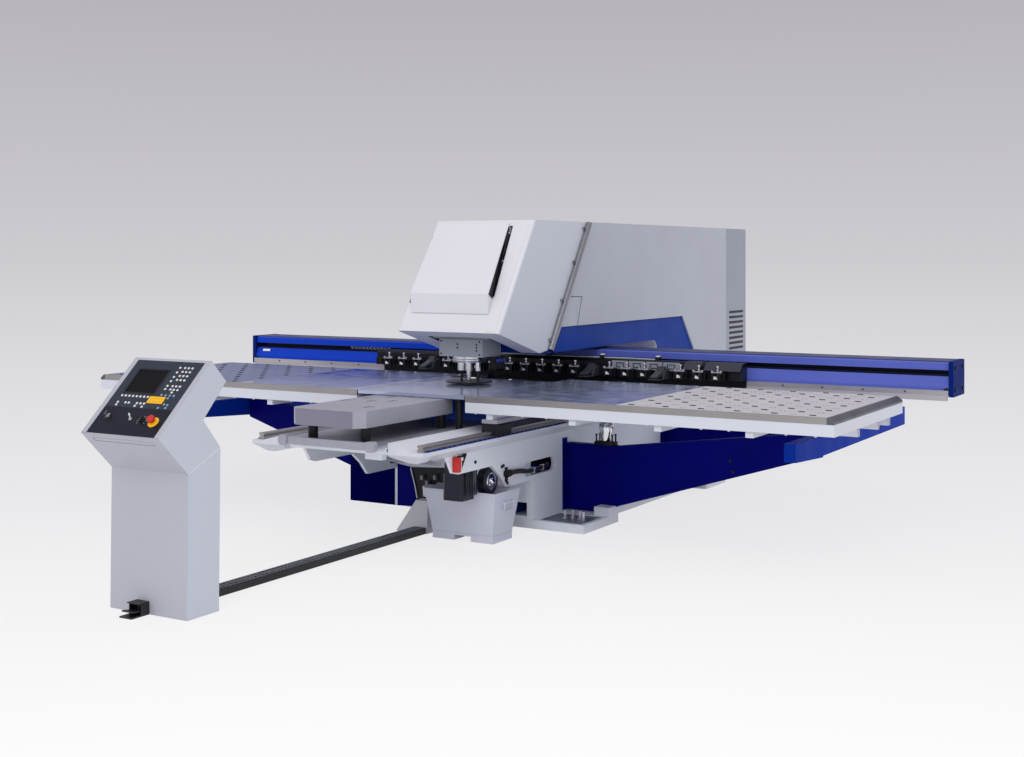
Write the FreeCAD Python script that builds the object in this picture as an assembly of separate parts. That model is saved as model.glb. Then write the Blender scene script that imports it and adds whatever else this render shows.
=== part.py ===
import FreeCAD, Part
import math
import os

Vector = FreeCAD.Vector

# Coordinate punch press with one punching head, a moving table and a linear
# tool magazine.  Millimetres.  X runs across the machine, Y from the operator
# towards the back, Z up.  The origin is on the floor under the punch axis.

# ---- General clearances and sheet gauges ----
RUNNING_GAP = 0.3
COVER_WALL = 3.0
PANEL_GAP = 4.0

# ---- Main sizes ----
TABLE_HEIGHT = 985.0
COVER_TOP = 2190.0
RAIL_HALF_LENGTH = 3150.0
TABLE_END_INSET = 170.0
TABLE_OUTER_X = RAIL_HALF_LENGTH - TABLE_END_INSET

# ---- Base ----
BASE_THICKNESS = 61.0
BASE_LEFT = -300.0
BASE_RIGHT = 1000.0
BASE_FRONT = -100.0
BASE_BACK = 440.0
BASE_RIM = 34.0
BASE_RECESS = 8.0
ANCHOR_HOLE_RADIUS = 13.0
ANCHOR_INSET = 70.0
REAR_BASE_DEPTH = 420.0
FOOT_BEAM_WIDTH = 120.0
FOOT_BEAM_HEIGHT = 60.0
FOOT_BEAM_START = 290.0

# ---- Lower frame ----
SIDE_PLATE_X = 592.0
SIDE_PLATE_THICKNESS = 25.0
FRAME_FRONT = -100.0
FRAME_END = 2500.0
FRAME_WALL = 20.0
GUIDE_DROP = 270.0
GUIDE_HEIGHT = 75.0
GUIDE_TOP = TABLE_HEIGHT - GUIDE_DROP
BEAM_SEAT_HEIGHT = GUIDE_TOP - GUIDE_HEIGHT
NOSE_FRONT = -1200.0
NOSE_HEIGHT = 128.0
NOSE_BACK = -650.0
TONGUE_FRONT = -470.0
TONGUE_BOTTOM = 345.0
HOSE_SLOT_FRONT = -212.0
HOSE_SLOT_BACK = 220.0
HOSE_SLOT_BOTTOM = 378.0
HOSE_SLOT_TOP = 476.0
NOTCH_WIDTH = 150.0
NOTCH_HEIGHT = 95.0

# ---- C-frame and throat ----
ARM_HALF_WIDTH = 415.0
THROAT_BELOW_TABLE = 85.0
THROAT_ABOVE_TABLE = 215.0
THROAT_FLOOR = TABLE_HEIGHT - THROAT_BELOW_TABLE
THROAT_TOP = TABLE_HEIGHT + THROAT_ABOVE_TABLE
THROAT_BACK = 2400.0
THROAT_RADIUS = 80.0
ROOF_SPACE = 37.0
ARM_TOP = COVER_TOP - COVER_WALL - ROOF_SPACE
ARM_NOSE = 330.0
BACK_OF_FRAME = 3900.0

# ---- Outriggers and lateral beams ----
OUTRIGGER_FRONT_Y = 400.0
OUTRIGGER_REAR_Y = 2150.0
OUTRIGGER_WALL = 12.0
OUTRIGGER_DEPTH = 85.0
OUTRIGGER_BEND_X = 845.0
OUTRIGGER_SHOULDER_X = 1000.0
OUTRIGGER_DROP = 91.0
OUTRIGGER_INNER_TOP = BEAM_SEAT_HEIGHT - OUTRIGGER_DROP
OUTRIGGER_KNEE_INSET = 217.0
LATERAL_END_INSET = 450.0
LATERAL_OUTER_X = TABLE_OUTER_X - LATERAL_END_INSET
LATERAL_WIDTH = 78.0
LATERAL_FRONT = -130.0
LATERAL_BACK = 2470.0
LATERAL_RISE = 90.0
LATERAL_HEIGHT = 140.0
LATERAL_TOP = BEAM_SEAT_HEIGHT + LATERAL_RISE
LATERAL_BOTTOM = LATERAL_TOP - LATERAL_HEIGHT
LATERAL_WALL = 8.0

# ---- Guideways along Y ----
GUIDE_X = 633.0
GUIDE_INNER_RISE = 49.0
GUIDE_INNER_TOP = GUIDE_TOP + GUIDE_INNER_RISE
GUIDE_OUTER_X = 679.0
GUIDE_LIP = 24.0
GUIDE_FRONT = -1600.0
GUIDE_BACK = 2350.0
GUIDE_WALL = 6.0
RAIL_WIDTH = 45.0
RAIL_HEIGHT = 42.0
RAIL_END_INSET = 40.0
RAIL_WAIST = 9.0
BLOCK_LENGTH = 190.0
BLOCK_WIDTH = 118.0
BLOCK_DROP = 175.0
BLOCK_TOP = TABLE_HEIGHT - BLOCK_DROP
BLOCK_SKIRT = 26.0
BLOCK_FRONT_Y = -655.0
BLOCK_REAR_Y = 1380.0

# ---- Moving table ----
WING_GAP = 35.0
TABLE_INNER_X = ARM_HALF_WIDTH + WING_GAP
TABLE_SEAM_X = 1565.0
TABLE_FRONT = -763.0
TABLE_BACK = 715.0
TABLE_PLATE = 12.0
EDGE_STRIP_HEIGHT = 40.0
EDGE_STRIP_THICKNESS = 14.0
SKIRT_HEIGHT = 72.0
SKIRT_WALL = 4.0
RIB_WIDTH = 50.0
RIB_PITCH = 600.0
RIB_COUNT = 3
RIB_END_INSET = 550.0
RAIL_PEDESTAL_GAP = 120.0
SADDLE_THICKNESS = 25.0
RAMP_WIDTH = 46.0
RAMP_DROP = 26.0
TUBE_SIZE = 45.0
TUBE_WALL = 3.0
TUBE_ROWS = (-15.0, 424.0, 680.0)
TUBE_END_INSET = 80.0
BRUSH_PITCH_X = 236.0
BRUSH_PITCH_Y = 150.0
BRUSH_LENGTH = 42.0
BRUSH_WIDTH = 14.0
BRUSH_HEIGHT = 3.0

# ---- Cross rail ----
RAIL_FRONT = 1260.0
RAIL_BACK = 1600.0
RAIL_BELOW_TABLE = 36.0
RAIL_HEIGHT_OVER_ALL = 237.0
RAIL_BOTTOM = TABLE_HEIGHT - RAIL_BELOW_TABLE
RAIL_TOP = RAIL_BOTTOM + RAIL_HEIGHT_OVER_ALL
RAIL_CAP_DEPTH = 40.0
RAIL_LAND_HEIGHT = 62.0
RAIL_RECESS_HEIGHT = 30.0
RAIL_RECESS_DEPTH = 60.0
RAIL_STRIP_HEIGHT = 36.0
RAIL_STRIP_DEPTH = 24.0
END_CAP_THICKNESS = 33.0
END_CAP_OVERHANG = 12.0

# ---- Tool carriage ----
STATION_PITCH = 150.0
STATION_SIDE_COUNT = 10
CLAMP_STATIONS = (-7, 3, 7)
CARRIAGE_END_MARGIN = 170.0
CARRIAGE_FRONT = 1140.0
CARRIAGE_LIFT = 7.0
CARRIAGE_HEIGHT = 126.0
CARRIAGE_BOTTOM = TABLE_HEIGHT + CARRIAGE_LIFT
CARRIAGE_TOP = CARRIAGE_BOTTOM + CARRIAGE_HEIGHT
CASSETTE_WIDTH = 118.0
CASSETTE_REACH = 78.0
CASSETTE_HEIGHT = 58.0
RUNNER_COUNT = 6
RUNNER_PITCH = 600.0
RUNNER_WIDTH = 90.0
RUNNER_THICKNESS = 18.0
TOOL_RADIUS = 12.0
TOOL_HEIGHT = 96.0
TOOL_SETBACK = 40.0
CLAMP_WIDTH = 84.0
CLAMP_REACH = 205.0
CLAMP_JAW = 12.0
CLAMP_MOUTH = 9.0
LINE_RADIUS = 5.0
CONNECTOR_COUNT = 5
CONNECTOR_PITCH = 480.0
CONNECTOR_SIZE = 36.0
LINE_WAVE = 15.0

# ---- Punching head ----
HEAD_HALF_WIDTH = 186.0
HEAD_FRONT = -120.0
HEAD_BELOW_THROAT = 7.0
HEAD_BOTTOM = THROAT_TOP - HEAD_BELOW_THROAT
HEAD_BLOCK_HEIGHT = 129.0
HEAD_BLOCK_BACK = 150.0
HEAD_CASTING_HALF_WIDTH = 240.0
HEAD_CASTING_HEIGHT = 397.0
HEAD_CASTING_TOP = HEAD_BOTTOM + HEAD_CASTING_HEIGHT
CYLINDER_BARREL_HEIGHT = 110.0
ROTOR_RADIUS = 117.0
ROTOR_THICKNESS = 24.0
ROTOR_GAP = RUNNING_GAP
RAM_RADIUS = 27.0
RAM_ABOVE_TABLE = 99.0
RAM_BOTTOM = TABLE_HEIGHT + RAM_ABOVE_TABLE
RAM_TOP_GAP = 3.0
PUNCH_RADIUS = 19.0
PUNCH_LENGTH = 71.0
PUNCH_POINT_LENGTH = 40.0
STRIPPER_LIFT = 16.0
STRIPPER_BOTTOM = TABLE_HEIGHT + STRIPPER_LIFT
STRIPPER_THICKNESS = 10.0
STRIPPER_RADIUS = 168.0
STRIPPER_ROD_RADIUS = 9.0
LEFT_CYLINDER_X = -64.0
LEFT_CYLINDER_RADIUS = 29.0
RIGHT_CYLINDER_X = 78.0
RIGHT_CYLINDER_RADIUS = 20.0
CYLINDER_LENGTH = 84.0
ROD_ENGAGEMENT = 40.0
STRIPPER_STROKE = 12.0

# ---- Fixed centre table and die ----
CENTRE_TABLE_GAP = 10.0
CENTRE_TABLE_HALF_WIDTH = TABLE_INNER_X - CENTRE_TABLE_GAP
CENTRE_TABLE_BACK = 430.0
CENTRE_TABLE_THICKNESS = 25.0
DIE_HOLDER_RADIUS = 95.0
DIE_RADIUS = 44.0
DIE_HEIGHT = 32.0
DIE_BORE_RADIUS = 17.0

# ---- Front platform and loading plate ----
PLATFORM_RISE = 35.0
PLATFORM_TOP = GUIDE_TOP + PLATFORM_RISE
PLATFORM_THICKNESS = 15.0
PLATFORM_FRONT = -1655.0
PLATFORM_BACK = -220.0
LOADING_HALF_WIDTH = 287.0
LOADING_FRONT = -1710.0
LOADING_BACK = -600.0
LOADING_BELOW_TABLE = 28.0
LOADING_TOP = TABLE_HEIGHT - LOADING_BELOW_TABLE
LOADING_THICKNESS = 105.0
LOADING_CHAMFER = 62.0
LOADING_POST_RADIUS = 32.0
LOADING_POST_X = 210.0
LOADING_POST_INSET = 90.0
LOADING_FRONT_INSET = 160.0
CROSS_BAR_HEIGHT = 48.0
CROSS_BAR_DEPTH = 32.0
CROSS_BAR_FLANGE = 66.0
CROSS_BAR_HALF_LENGTH = 355.0
CROSS_BAR_DROP = 6.0
MEMBER_INSET = 40.0
MEMBER_RISE = 44.0
MEMBER_SLOPE = 110.0
MEMBER_DEPTH = 380.0
MEMBER_LIP = 28.0
MEMBER_WALL = 5.0
MEMBER_BOX_LEFT = 167.0
MEMBER_BOX_RIGHT = 300.0
MEMBER_BOX_DEPTH = 60.0
MEMBER_BOX_HEIGHT = 36.0

# ---- Covers ----
COVER_AIR_GAP = 15.0
COVER_HALF_WIDTH = ARM_HALF_WIDTH + COVER_AIR_GAP
HOOD_FRONT = -300.0
HOOD_FRONT_LIFT = 180.0
HOOD_FRONT_BOTTOM = THROAT_TOP + HOOD_FRONT_LIFT
HOOD_TOP_FRONT = 215.0
HOOD_BELLY_Y = 290.0
HOOD_BELLY_LIFT = 8.0
HOOD_BELLY_Z = THROAT_TOP + HOOD_BELLY_LIFT
SEAM_BOTTOM_Y = 427.0
SEAM_LIFT = 25.0
SEAM_BOTTOM_Z = THROAT_TOP + SEAM_LIFT
SEAM_TOP_Y = 1056.0
BAND_LIFT = 188.0
BAND_TOP = THROAT_TOP + BAND_LIFT
BAND_BACK_Y = 2900.0
BAND_FOOT_Y = 3160.0
BAND_DROP = 308.0
BAND_FOOT_Z = BAND_TOP - BAND_DROP
DOOR_SEAM_LIFT = 227.0
DOOR_SEAM_LENGTH = 250.0
DOOR_SEAM_WIDTH = 4.0
COVER_BOTTOM = 130.0
SIDE_COVER_BACK = 3940.0
CABINET_BACK = 4456.0
CABINET_DOOR_DEPTH = 30.0
HOOD_CORNER = 26.0
LID_THICKNESS = 16.0
LID_SIDE_INSET = 8.0
LID_BOTTOM_INSET = 128.0
LID_TOP_INSET = 34.0
LID_GRIP_INSET = 56.0
LID_SLOT_WIDTH = 26.0
TRIM_RADIUS = 19.0
CLIP_SHARES = (0.08, 0.38, 0.68, 0.95)
LOUVRE_COUNT = 8
LOUVRE_PITCH = 50.0
LOUVRE_HEIGHT = 24.0
LOUVRE_TOP = BAND_TOP + 7.0

# ---- Operator console ----
CONSOLE_X = -18.0
CONSOLE_WIDTH = 565.0
CONSOLE_FRONT = -3196.0
CONSOLE_DEPTH = 245.0
CONSOLE_NECK_Z = 769.0
CONSOLE_FOLD_Z = 886.0
CONSOLE_LIP_Y = -208.0
CONSOLE_LIP_Z = 981.0
CONSOLE_HEAD_Y = 189.0
CONSOLE_HEAD_Z = 1358.0
CONSOLE_HEAD_DEPTH = 163.0
PANEL_WIDTH = 482.6
PANEL_LENGTH = 465.0
PANEL_THICKNESS = 4.0
PANEL_SPLIT = 155.0
KEY_SIZE = 13.0
KEY_HEIGHT = 3.0
KEY_PITCH = 21.0
SCREEN_WIDTH = 214.0
SCREEN_LENGTH = 162.0
ESTOP_RING_HEIGHT = 5.0
ESTOP_TRAVEL = 5.0
ESTOP_STEM_RADIUS = 11.0
PEDAL_PIN_RADIUS = 4.0

# ---- Small items on the floor ----
BIN_FRONT = -706.0
BIN_BACK = -455.0
BIN_LEFT = 152.0
BIN_RIGHT = 634.0
BIN_HEIGHT = 340.0
BIN_FLARE_SIDE = 44.0
BIN_FLARE_END = 40.0
BIN_WALL = 4.0
BIN_FOOT = 50.0
BIN_HANDLE_WIDTH = 120.0
CABLE_TRAY_WIDTH = 100.0
CABLE_TRAY_HEIGHT = 43.0
CABLE_TRAY_WALL = 3.0
CABLE_TRAY_RUNG = 12.0
CABLE_TRAY_PITCH = 96.0
BRACKET_FRONT = -640.0
BRACKET_HEIGHT = 220.0
BRACKET_DEPTH = 140.0
BRACKET_LEFT = -200.0
BRACKET_RIGHT = 62.0
BRACKET_TOP_LEFT = -60.0
BRACKET_TOP_RIGHT = 40.0
BRACKET_MOUTH = 80.0
POWER_BOX_LEFT = -1220.0
POWER_BOX_RIGHT = -620.0
POWER_BOX_FRONT = 175.0
POWER_BOX_TOP = 545.0

# ---- Drive and small equipment ----
MOTOR_SIZE = 158.0
MOTOR_LENGTH = 200.0
MOTOR_FRONT = -950.0
GEARBOX_RADIUS = 92.0
GEARBOX_WIDTH = 60.0
GEARBOX_Y = -620.0
GEARBOX_Z = 405.0
FEED_HOSE_RADIUS = 17.0
FEED_HOSE_START = 33.0
TUBE_SIDES = 8
GLAND_BACK = -440.0
GLAND_LENGTH = 62.0

# ---- Derived places ----
GUIDE_INNER_X = ARM_HALF_WIDTH
SADDLE_BOTTOM = BLOCK_TOP
SADDLE_TOP = BLOCK_TOP + SADDLE_THICKNESS
SKIRT_TOP = TABLE_HEIGHT - EDGE_STRIP_HEIGHT
SKIRT_BOTTOM = SKIRT_TOP - SKIRT_HEIGHT
PLATE_BOTTOM = TABLE_HEIGHT - TABLE_PLATE
CARRIAGE_HALF_LENGTH = STATION_PITCH * STATION_SIDE_COUNT + CARRIAGE_END_MARGIN
SEAM_SLOPE = (SEAM_TOP_Y - SEAM_BOTTOM_Y) / (COVER_TOP - SEAM_BOTTOM_Z)
DIE_TOP = TABLE_HEIGHT
CONSOLE_BACK = CONSOLE_FRONT + CONSOLE_DEPTH
PANEL_ANGLE = math.atan2(CONSOLE_HEAD_Z - CONSOLE_LIP_Z, CONSOLE_HEAD_Y - CONSOLE_LIP_Y)


# ---- Shape helpers ----
def block(x0, x1, y0, y1, z0, z1):
    return Part.makeBox(x1 - x0, y1 - y0, z1 - z0, Vector(x0, y0, z0))


def rod(start, direction, radius, length):
    return Part.makeCylinder(radius, length, Vector(*start), Vector(*direction))


def faceted_rod(start, direction, radius, length, sides):
    """Many-sided rod for small rounds that repeat, corners on the radius."""
    axis = Vector(*direction).normalize()
    return prism(ring_points(start, direction, radius, sides), axis * length)


def faceted_bore(start, direction, radius, length, sides):
    """Many-sided cutter whose flats stay outside the stated radius."""
    return faceted_rod(start, direction, radius / math.cos(math.pi / sides), length, sides)


def ring_points(start, direction, radius, sides):
    """Corners of a regular ring across a direction."""
    axis = Vector(*direction).normalize()
    side = axis.cross(Vector(0, 0, 1)) if abs(axis.z) < 0.9 else Vector(1, 0, 0)
    side = side.normalize()
    other = axis.cross(side)
    ring = []
    for i in range(sides):
        a = 2 * math.pi * (i + 0.5) / sides
        ring.append(Vector(*start) + side * (radius * math.cos(a)) + other * (radius * math.sin(a)))
    return ring


def faceted_cone(start, direction, radius0, radius1, length, sides):
    """Many-sided taper between two rings of different size."""
    axis = Vector(*direction).normalize()
    end = tuple(Vector(*start) + axis * length)
    low = ring_points(start, direction, radius0, sides)
    high = ring_points(end, direction, radius1, sides)
    return Part.makeLoft([Part.makePolygon(low + low[:1]), Part.makePolygon(high + high[:1])],
                         True, True)


def prism(ring, travel):
    face = Part.Face(Part.makePolygon(ring + ring[:1]))
    return face.extrude(travel)


def side_profile(points, x0, x1):
    """A prism along X from an outline of (y, z) points."""
    ring = [Vector(x0, y, z) for y, z in points]
    return prism(ring, Vector(x1 - x0, 0, 0))


def front_profile(points, y0, y1):
    """A prism along Y from an outline of (x, z) points."""
    ring = [Vector(x, y0, z) for x, z in points]
    return prism(ring, Vector(0, y1 - y0, 0))


def plan_profile(points, z0, z1):
    """A prism along Z from an outline of (x, y) points."""
    ring = [Vector(x, y, z0) for x, y in points]
    return prism(ring, Vector(0, 0, z1 - z0))


def inset(points, distance):
    """Moves every edge of a closed outline inwards by one distance."""
    count = len(points)
    area = 0.0
    for i in range(count):
        (ax, ay), (bx, by) = points[i], points[(i + 1) % count]
        area += ax * by - bx * ay
    turn = 1.0 if area > 0 else -1.0
    lines = []
    for i in range(count):
        (ax, ay), (bx, by) = points[i], points[(i + 1) % count]
        length = math.hypot(bx - ax, by - ay)
        ux = (bx - ax) / length
        uy = (by - ay) / length
        lines.append((ax - turn * uy * distance, ay + turn * ux * distance, ux, uy))
    moved = []
    for i in range(count):
        px, py, pu, pv = lines[i - 1]
        qx, qy, qu, qv = lines[i]
        cross = pu * qv - pv * qu
        step = ((qx - px) * qv - (qy - py) * qu) / cross
        moved.append((px + pu * step, py + pv * step))
    return moved


def joined(shapes):
    return shapes[0].multiFuse(shapes[1:]).removeSplitter()


def group(shapes):
    return Part.makeCompound(shapes)


def mirrored(shape):
    return shape.mirror(Vector(0, 0, 0), Vector(1, 0, 0))


def both_sides(shapes):
    return shapes + [mirrored(s) for s in shapes]


def bevelled_plan(x0, x1, y0, y1, z0, z1, bevel):
    body = block(x0, x1, y0, y1, z0, z1)
    upright = [e for e in body.Edges if abs(e.BoundBox.ZLength - (z1 - z0)) < 1e-6]
    return body.makeChamfer(bevel, upright)


def tapered_box(low, high):
    """Solid between two four-cornered rings, with flat sides."""
    faces = [Part.Face(Part.makePolygon(low + low[:1])),
             Part.Face(Part.makePolygon(high + high[:1]))]
    for i in range(4):
        k = (i + 1) % 4
        ring = [low[i], low[k], high[k], high[i], low[i]]
        faces.append(Part.Face(Part.makePolygon(ring)))
    return Part.makeSolid(Part.makeShell(faces))


def save(name, shape):
    shape.exportStep("parts/%s.step" % name)


# ---- Base and lower frame ----
def base_plate():
    plate = block(BASE_LEFT, BASE_RIGHT, BASE_FRONT, BASE_BACK, 0, BASE_THICKNESS)
    floor = BASE_THICKNESS - BASE_RECESS
    pocket = block(SIDE_PLATE_X + BASE_RIM, BASE_RIGHT - BASE_RIM,
                   BASE_FRONT + BASE_RIM, FOOT_BEAM_START - BASE_RIM,
                   floor, BASE_THICKNESS)
    plate = plate.cut(pocket)
    for x, y in anchor_places():
        plate = plate.cut(rod((x, y, 0), (0, 0, 1), ANCHOR_HOLE_RADIUS, BASE_THICKNESS))
    return plate


def anchor_places():
    left = SIDE_PLATE_X + ANCHOR_INSET
    right = BASE_RIGHT - FOOT_BEAM_WIDTH - ANCHOR_INSET
    front = BASE_FRONT + ANCHOR_INSET
    back = OUTRIGGER_FRONT_Y - ANCHOR_INSET
    return [(left, front), (right, front), (left, back), (right, back)]


def rear_base_plate():
    front = FRAME_END - REAR_BASE_DEPTH
    return block(-BASE_RIGHT, BASE_RIGHT, front, FRAME_END, 0, BASE_THICKNESS)


def column_base_plate():
    back = SIDE_COVER_BACK - 60
    front = back - REAR_BASE_DEPTH
    half = ARM_HALF_WIDTH + 30
    return block(-half, half, front, back, 0, BASE_THICKNESS)


def foot_beam():
    """White box beam along the right edge of the two base plates."""
    inner = BASE_RIGHT - FOOT_BEAM_WIDTH
    top = BASE_THICKNESS + FOOT_BEAM_HEIGHT
    outline = [(inner, BASE_THICKNESS), (BASE_RIGHT, BASE_THICKNESS),
               (BASE_RIGHT, top), (inner, top)]
    beam = front_profile(outline, FOOT_BEAM_START, FRAME_END)
    hollow = front_profile(inset(outline, 8), FOOT_BEAM_START + 8, FRAME_END - 8)
    beam = beam.cut(hollow)
    # The beam is notched where the two outriggers stand over it.
    for near, far in ((OUTRIGGER_FRONT_Y, OUTRIGGER_FRONT_Y + OUTRIGGER_DEPTH),
                      (OUTRIGGER_REAR_Y - OUTRIGGER_DEPTH, OUTRIGGER_REAR_Y)):
        beam = beam.cut(front_profile(outrigger_outline(), near, far))
    return beam


def side_plate():
    """Right side plate with the forward nose, the tongue and the hose slot."""
    outline = [
        (FRAME_FRONT, BASE_THICKNESS),
        (FRAME_END, BASE_THICKNESS),
        (FRAME_END, BEAM_SEAT_HEIGHT),
        (NOSE_FRONT, BEAM_SEAT_HEIGHT),
        (NOSE_FRONT + 72, BEAM_SEAT_HEIGHT - NOSE_HEIGHT + 14),
        (NOSE_FRONT + 130, BEAM_SEAT_HEIGHT - NOSE_HEIGHT),
        (NOSE_BACK, BEAM_SEAT_HEIGHT - NOSE_HEIGHT),
        (TONGUE_FRONT - 80, TONGUE_BOTTOM + 90),
        (TONGUE_FRONT, TONGUE_BOTTOM),
        (FRAME_FRONT, TONGUE_BOTTOM),
    ]
    inner = SIDE_PLATE_X - SIDE_PLATE_THICKNESS
    plate = side_profile(outline, inner, SIDE_PLATE_X)
    slot = block(inner, SIDE_PLATE_X, HOSE_SLOT_FRONT, HOSE_SLOT_BACK,
                 HOSE_SLOT_BOTTOM, HOSE_SLOT_TOP)
    corners = [e for e in slot.Edges if abs(e.BoundBox.XLength - SIDE_PLATE_THICKNESS) < 1e-6]
    slot = slot.makeFillet((HOSE_SLOT_TOP - HOSE_SLOT_BOTTOM) * 0.42, corners)
    return plate.cut(slot)


def lower_frame():
    """Welded box: two side plates, front plate with a notch, floor and ribs."""
    right = side_plate()
    inner = SIDE_PLATE_X - SIDE_PLATE_THICKNESS
    front = block(-inner, inner, FRAME_FRONT, FRAME_FRONT + FRAME_WALL,
                  BASE_THICKNESS, BEAM_SEAT_HEIGHT)
    notch = block(inner - NOTCH_WIDTH - 20, inner - 20, FRAME_FRONT,
                  FRAME_FRONT + FRAME_WALL, BASE_THICKNESS + 22,
                  BASE_THICKNESS + 22 + NOTCH_HEIGHT)
    pan = block(-inner, inner, FRAME_FRONT, FRAME_END,
                BASE_THICKNESS, BASE_THICKNESS + FRAME_WALL)
    parts = [right, mirrored(right), front.cut(notch), pan]
    for y in (560.0, 1180.0, 1800.0, FRAME_END - FRAME_WALL):
        rib = block(ARM_HALF_WIDTH, inner, y, y + FRAME_WALL,
                    BASE_THICKNESS, BEAM_SEAT_HEIGHT)
        parts.append(rib)
        parts.append(mirrored(rib))
    return joined(parts)


def c_frame():
    """Welded C-shaped body: lower arm, column and upper arm round the throat."""
    nose = FRAME_FRONT + FRAME_WALL
    floor = BASE_THICKNESS + FRAME_WALL
    outline = [
        (nose, floor),
        (nose, THROAT_FLOOR),
        (THROAT_BACK, THROAT_FLOOR),
        (THROAT_BACK, THROAT_TOP),
        (ARM_NOSE, THROAT_TOP),
        (ARM_NOSE, ARM_TOP),
        (BACK_OF_FRAME, ARM_TOP),
        (BACK_OF_FRAME, BASE_THICKNESS),
        (FRAME_END, BASE_THICKNESS),
        (FRAME_END, floor),
    ]
    body = side_profile(outline, -ARM_HALF_WIDTH, ARM_HALF_WIDTH)
    corners = []
    for edge in body.Edges:
        box = edge.BoundBox
        at_back = abs(box.YMin - THROAT_BACK) < 1e-6 and abs(box.YMax - THROAT_BACK) < 1e-6
        across = box.XLength > ARM_HALF_WIDTH
        at_throat = THROAT_FLOOR - 1 < box.ZMin < THROAT_TOP + 1
        if at_back and across and at_throat:
            corners.append(edge)
    body = body.makeFillet(THROAT_RADIUS, corners)
    # The lower arm carries the die, so it is bored for the slugs to fall.
    slug_hole = faceted_bore((0, 0, floor), (0, 0, 1), DIE_BORE_RADIUS + 12,
                             THROAT_FLOOR - floor, 12)
    return joined([body.cut(slug_hole)] + table_pads() + top_rails() + hood_pads())


def table_pads():
    """Machined pads on the lower arm that carry the fixed table plate."""
    top = TABLE_HEIGHT - CENTRE_TABLE_THICKNESS
    pads = []
    for y in (20.0, 340.0):
        pads.append(block(DIE_HOLDER_RADIUS + 40, ARM_HALF_WIDTH - 20, y - 40, y + 40,
                          THROAT_FLOOR, top))
    return both_sides(pads)


def hood_pads():
    """Slanting strips on the cheeks of the upper arm that carry the hood."""
    low = SEAM_BOTTOM_Z + 35
    high = ARM_TOP - 50
    pad = side_profile([
        (seam_y(low, -50), low),
        (seam_y(low, -20), low),
        (seam_y(high, -20), high),
        (seam_y(high, -50), high),
    ], ARM_HALF_WIDTH, COVER_HALF_WIDTH - COVER_WALL)
    return both_sides([pad])


def top_rails():
    """Longitudinal rails on the upper arm under the top cover."""
    rail = block(ARM_HALF_WIDTH - 40, ARM_HALF_WIDTH, 1150, BACK_OF_FRAME,
                 ARM_TOP, COVER_TOP - COVER_WALL)
    return both_sides([rail])


# ---- Outriggers ----
def outrigger_outline():
    inner = SIDE_PLATE_X
    outer = LATERAL_OUTER_X - LATERAL_WIDTH
    foot = BASE_THICKNESS + 4
    return [
        (inner, foot),
        (OUTRIGGER_BEND_X, foot),
        (outer, LATERAL_BOTTOM - 24),
        (outer, LATERAL_TOP - 8),
        (outer - OUTRIGGER_KNEE_INSET, LATERAL_TOP - 20),
        (OUTRIGGER_SHOULDER_X, OUTRIGGER_INNER_TOP),
        (inner, OUTRIGGER_INNER_TOP),
    ]


def outrigger(web_y, facing):
    """Blue tray-shaped console: web with a flange all round, open to one side."""
    outline = outrigger_outline()
    far = web_y + facing * OUTRIGGER_DEPTH
    body = front_profile(outline, min(web_y, far), max(web_y, far))
    near = web_y + facing * OUTRIGGER_WALL
    hollow = front_profile(inset(outline, OUTRIGGER_WALL), min(near, far), max(near, far))
    tray = body.cut(hollow)
    # Bolting flange that lies on the side plate beyond the web.
    edge = web_y - facing * 57
    flange = block(SIDE_PLATE_X, SIDE_PLATE_X + OUTRIGGER_WALL, min(edge, web_y),
                   max(edge, web_y), BASE_THICKNESS + 4, LATERAL_BOTTOM)
    return joined([tray, flange])


def lateral_beam():
    """Rectangular tube that joins the front and the rear outrigger."""
    inner = LATERAL_OUTER_X - LATERAL_WIDTH
    rise = 70.0
    outline = [
        (LATERAL_FRONT, LATERAL_BOTTOM + rise * 0.3),
        (LATERAL_FRONT + 550, LATERAL_BOTTOM - 10),
        (LATERAL_FRONT + 550, LATERAL_BOTTOM),
        (LATERAL_BACK, LATERAL_BOTTOM),
        (LATERAL_BACK, LATERAL_TOP),
        (LATERAL_FRONT, LATERAL_TOP),
    ]
    body = side_profile(outline, inner, LATERAL_OUTER_X)
    bore = block(inner + LATERAL_WALL, LATERAL_OUTER_X - LATERAL_WALL,
                 LATERAL_FRONT + 12, LATERAL_BACK - 12,
                 LATERAL_BOTTOM + rise * 0.3 + LATERAL_WALL, LATERAL_TOP - LATERAL_WALL)
    pin = rod((LATERAL_OUTER_X - 30, LATERAL_BACK, LATERAL_TOP - 22), (0, 1, 0), 8, 46)
    return joined([body.cut(bore), pin])


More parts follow.
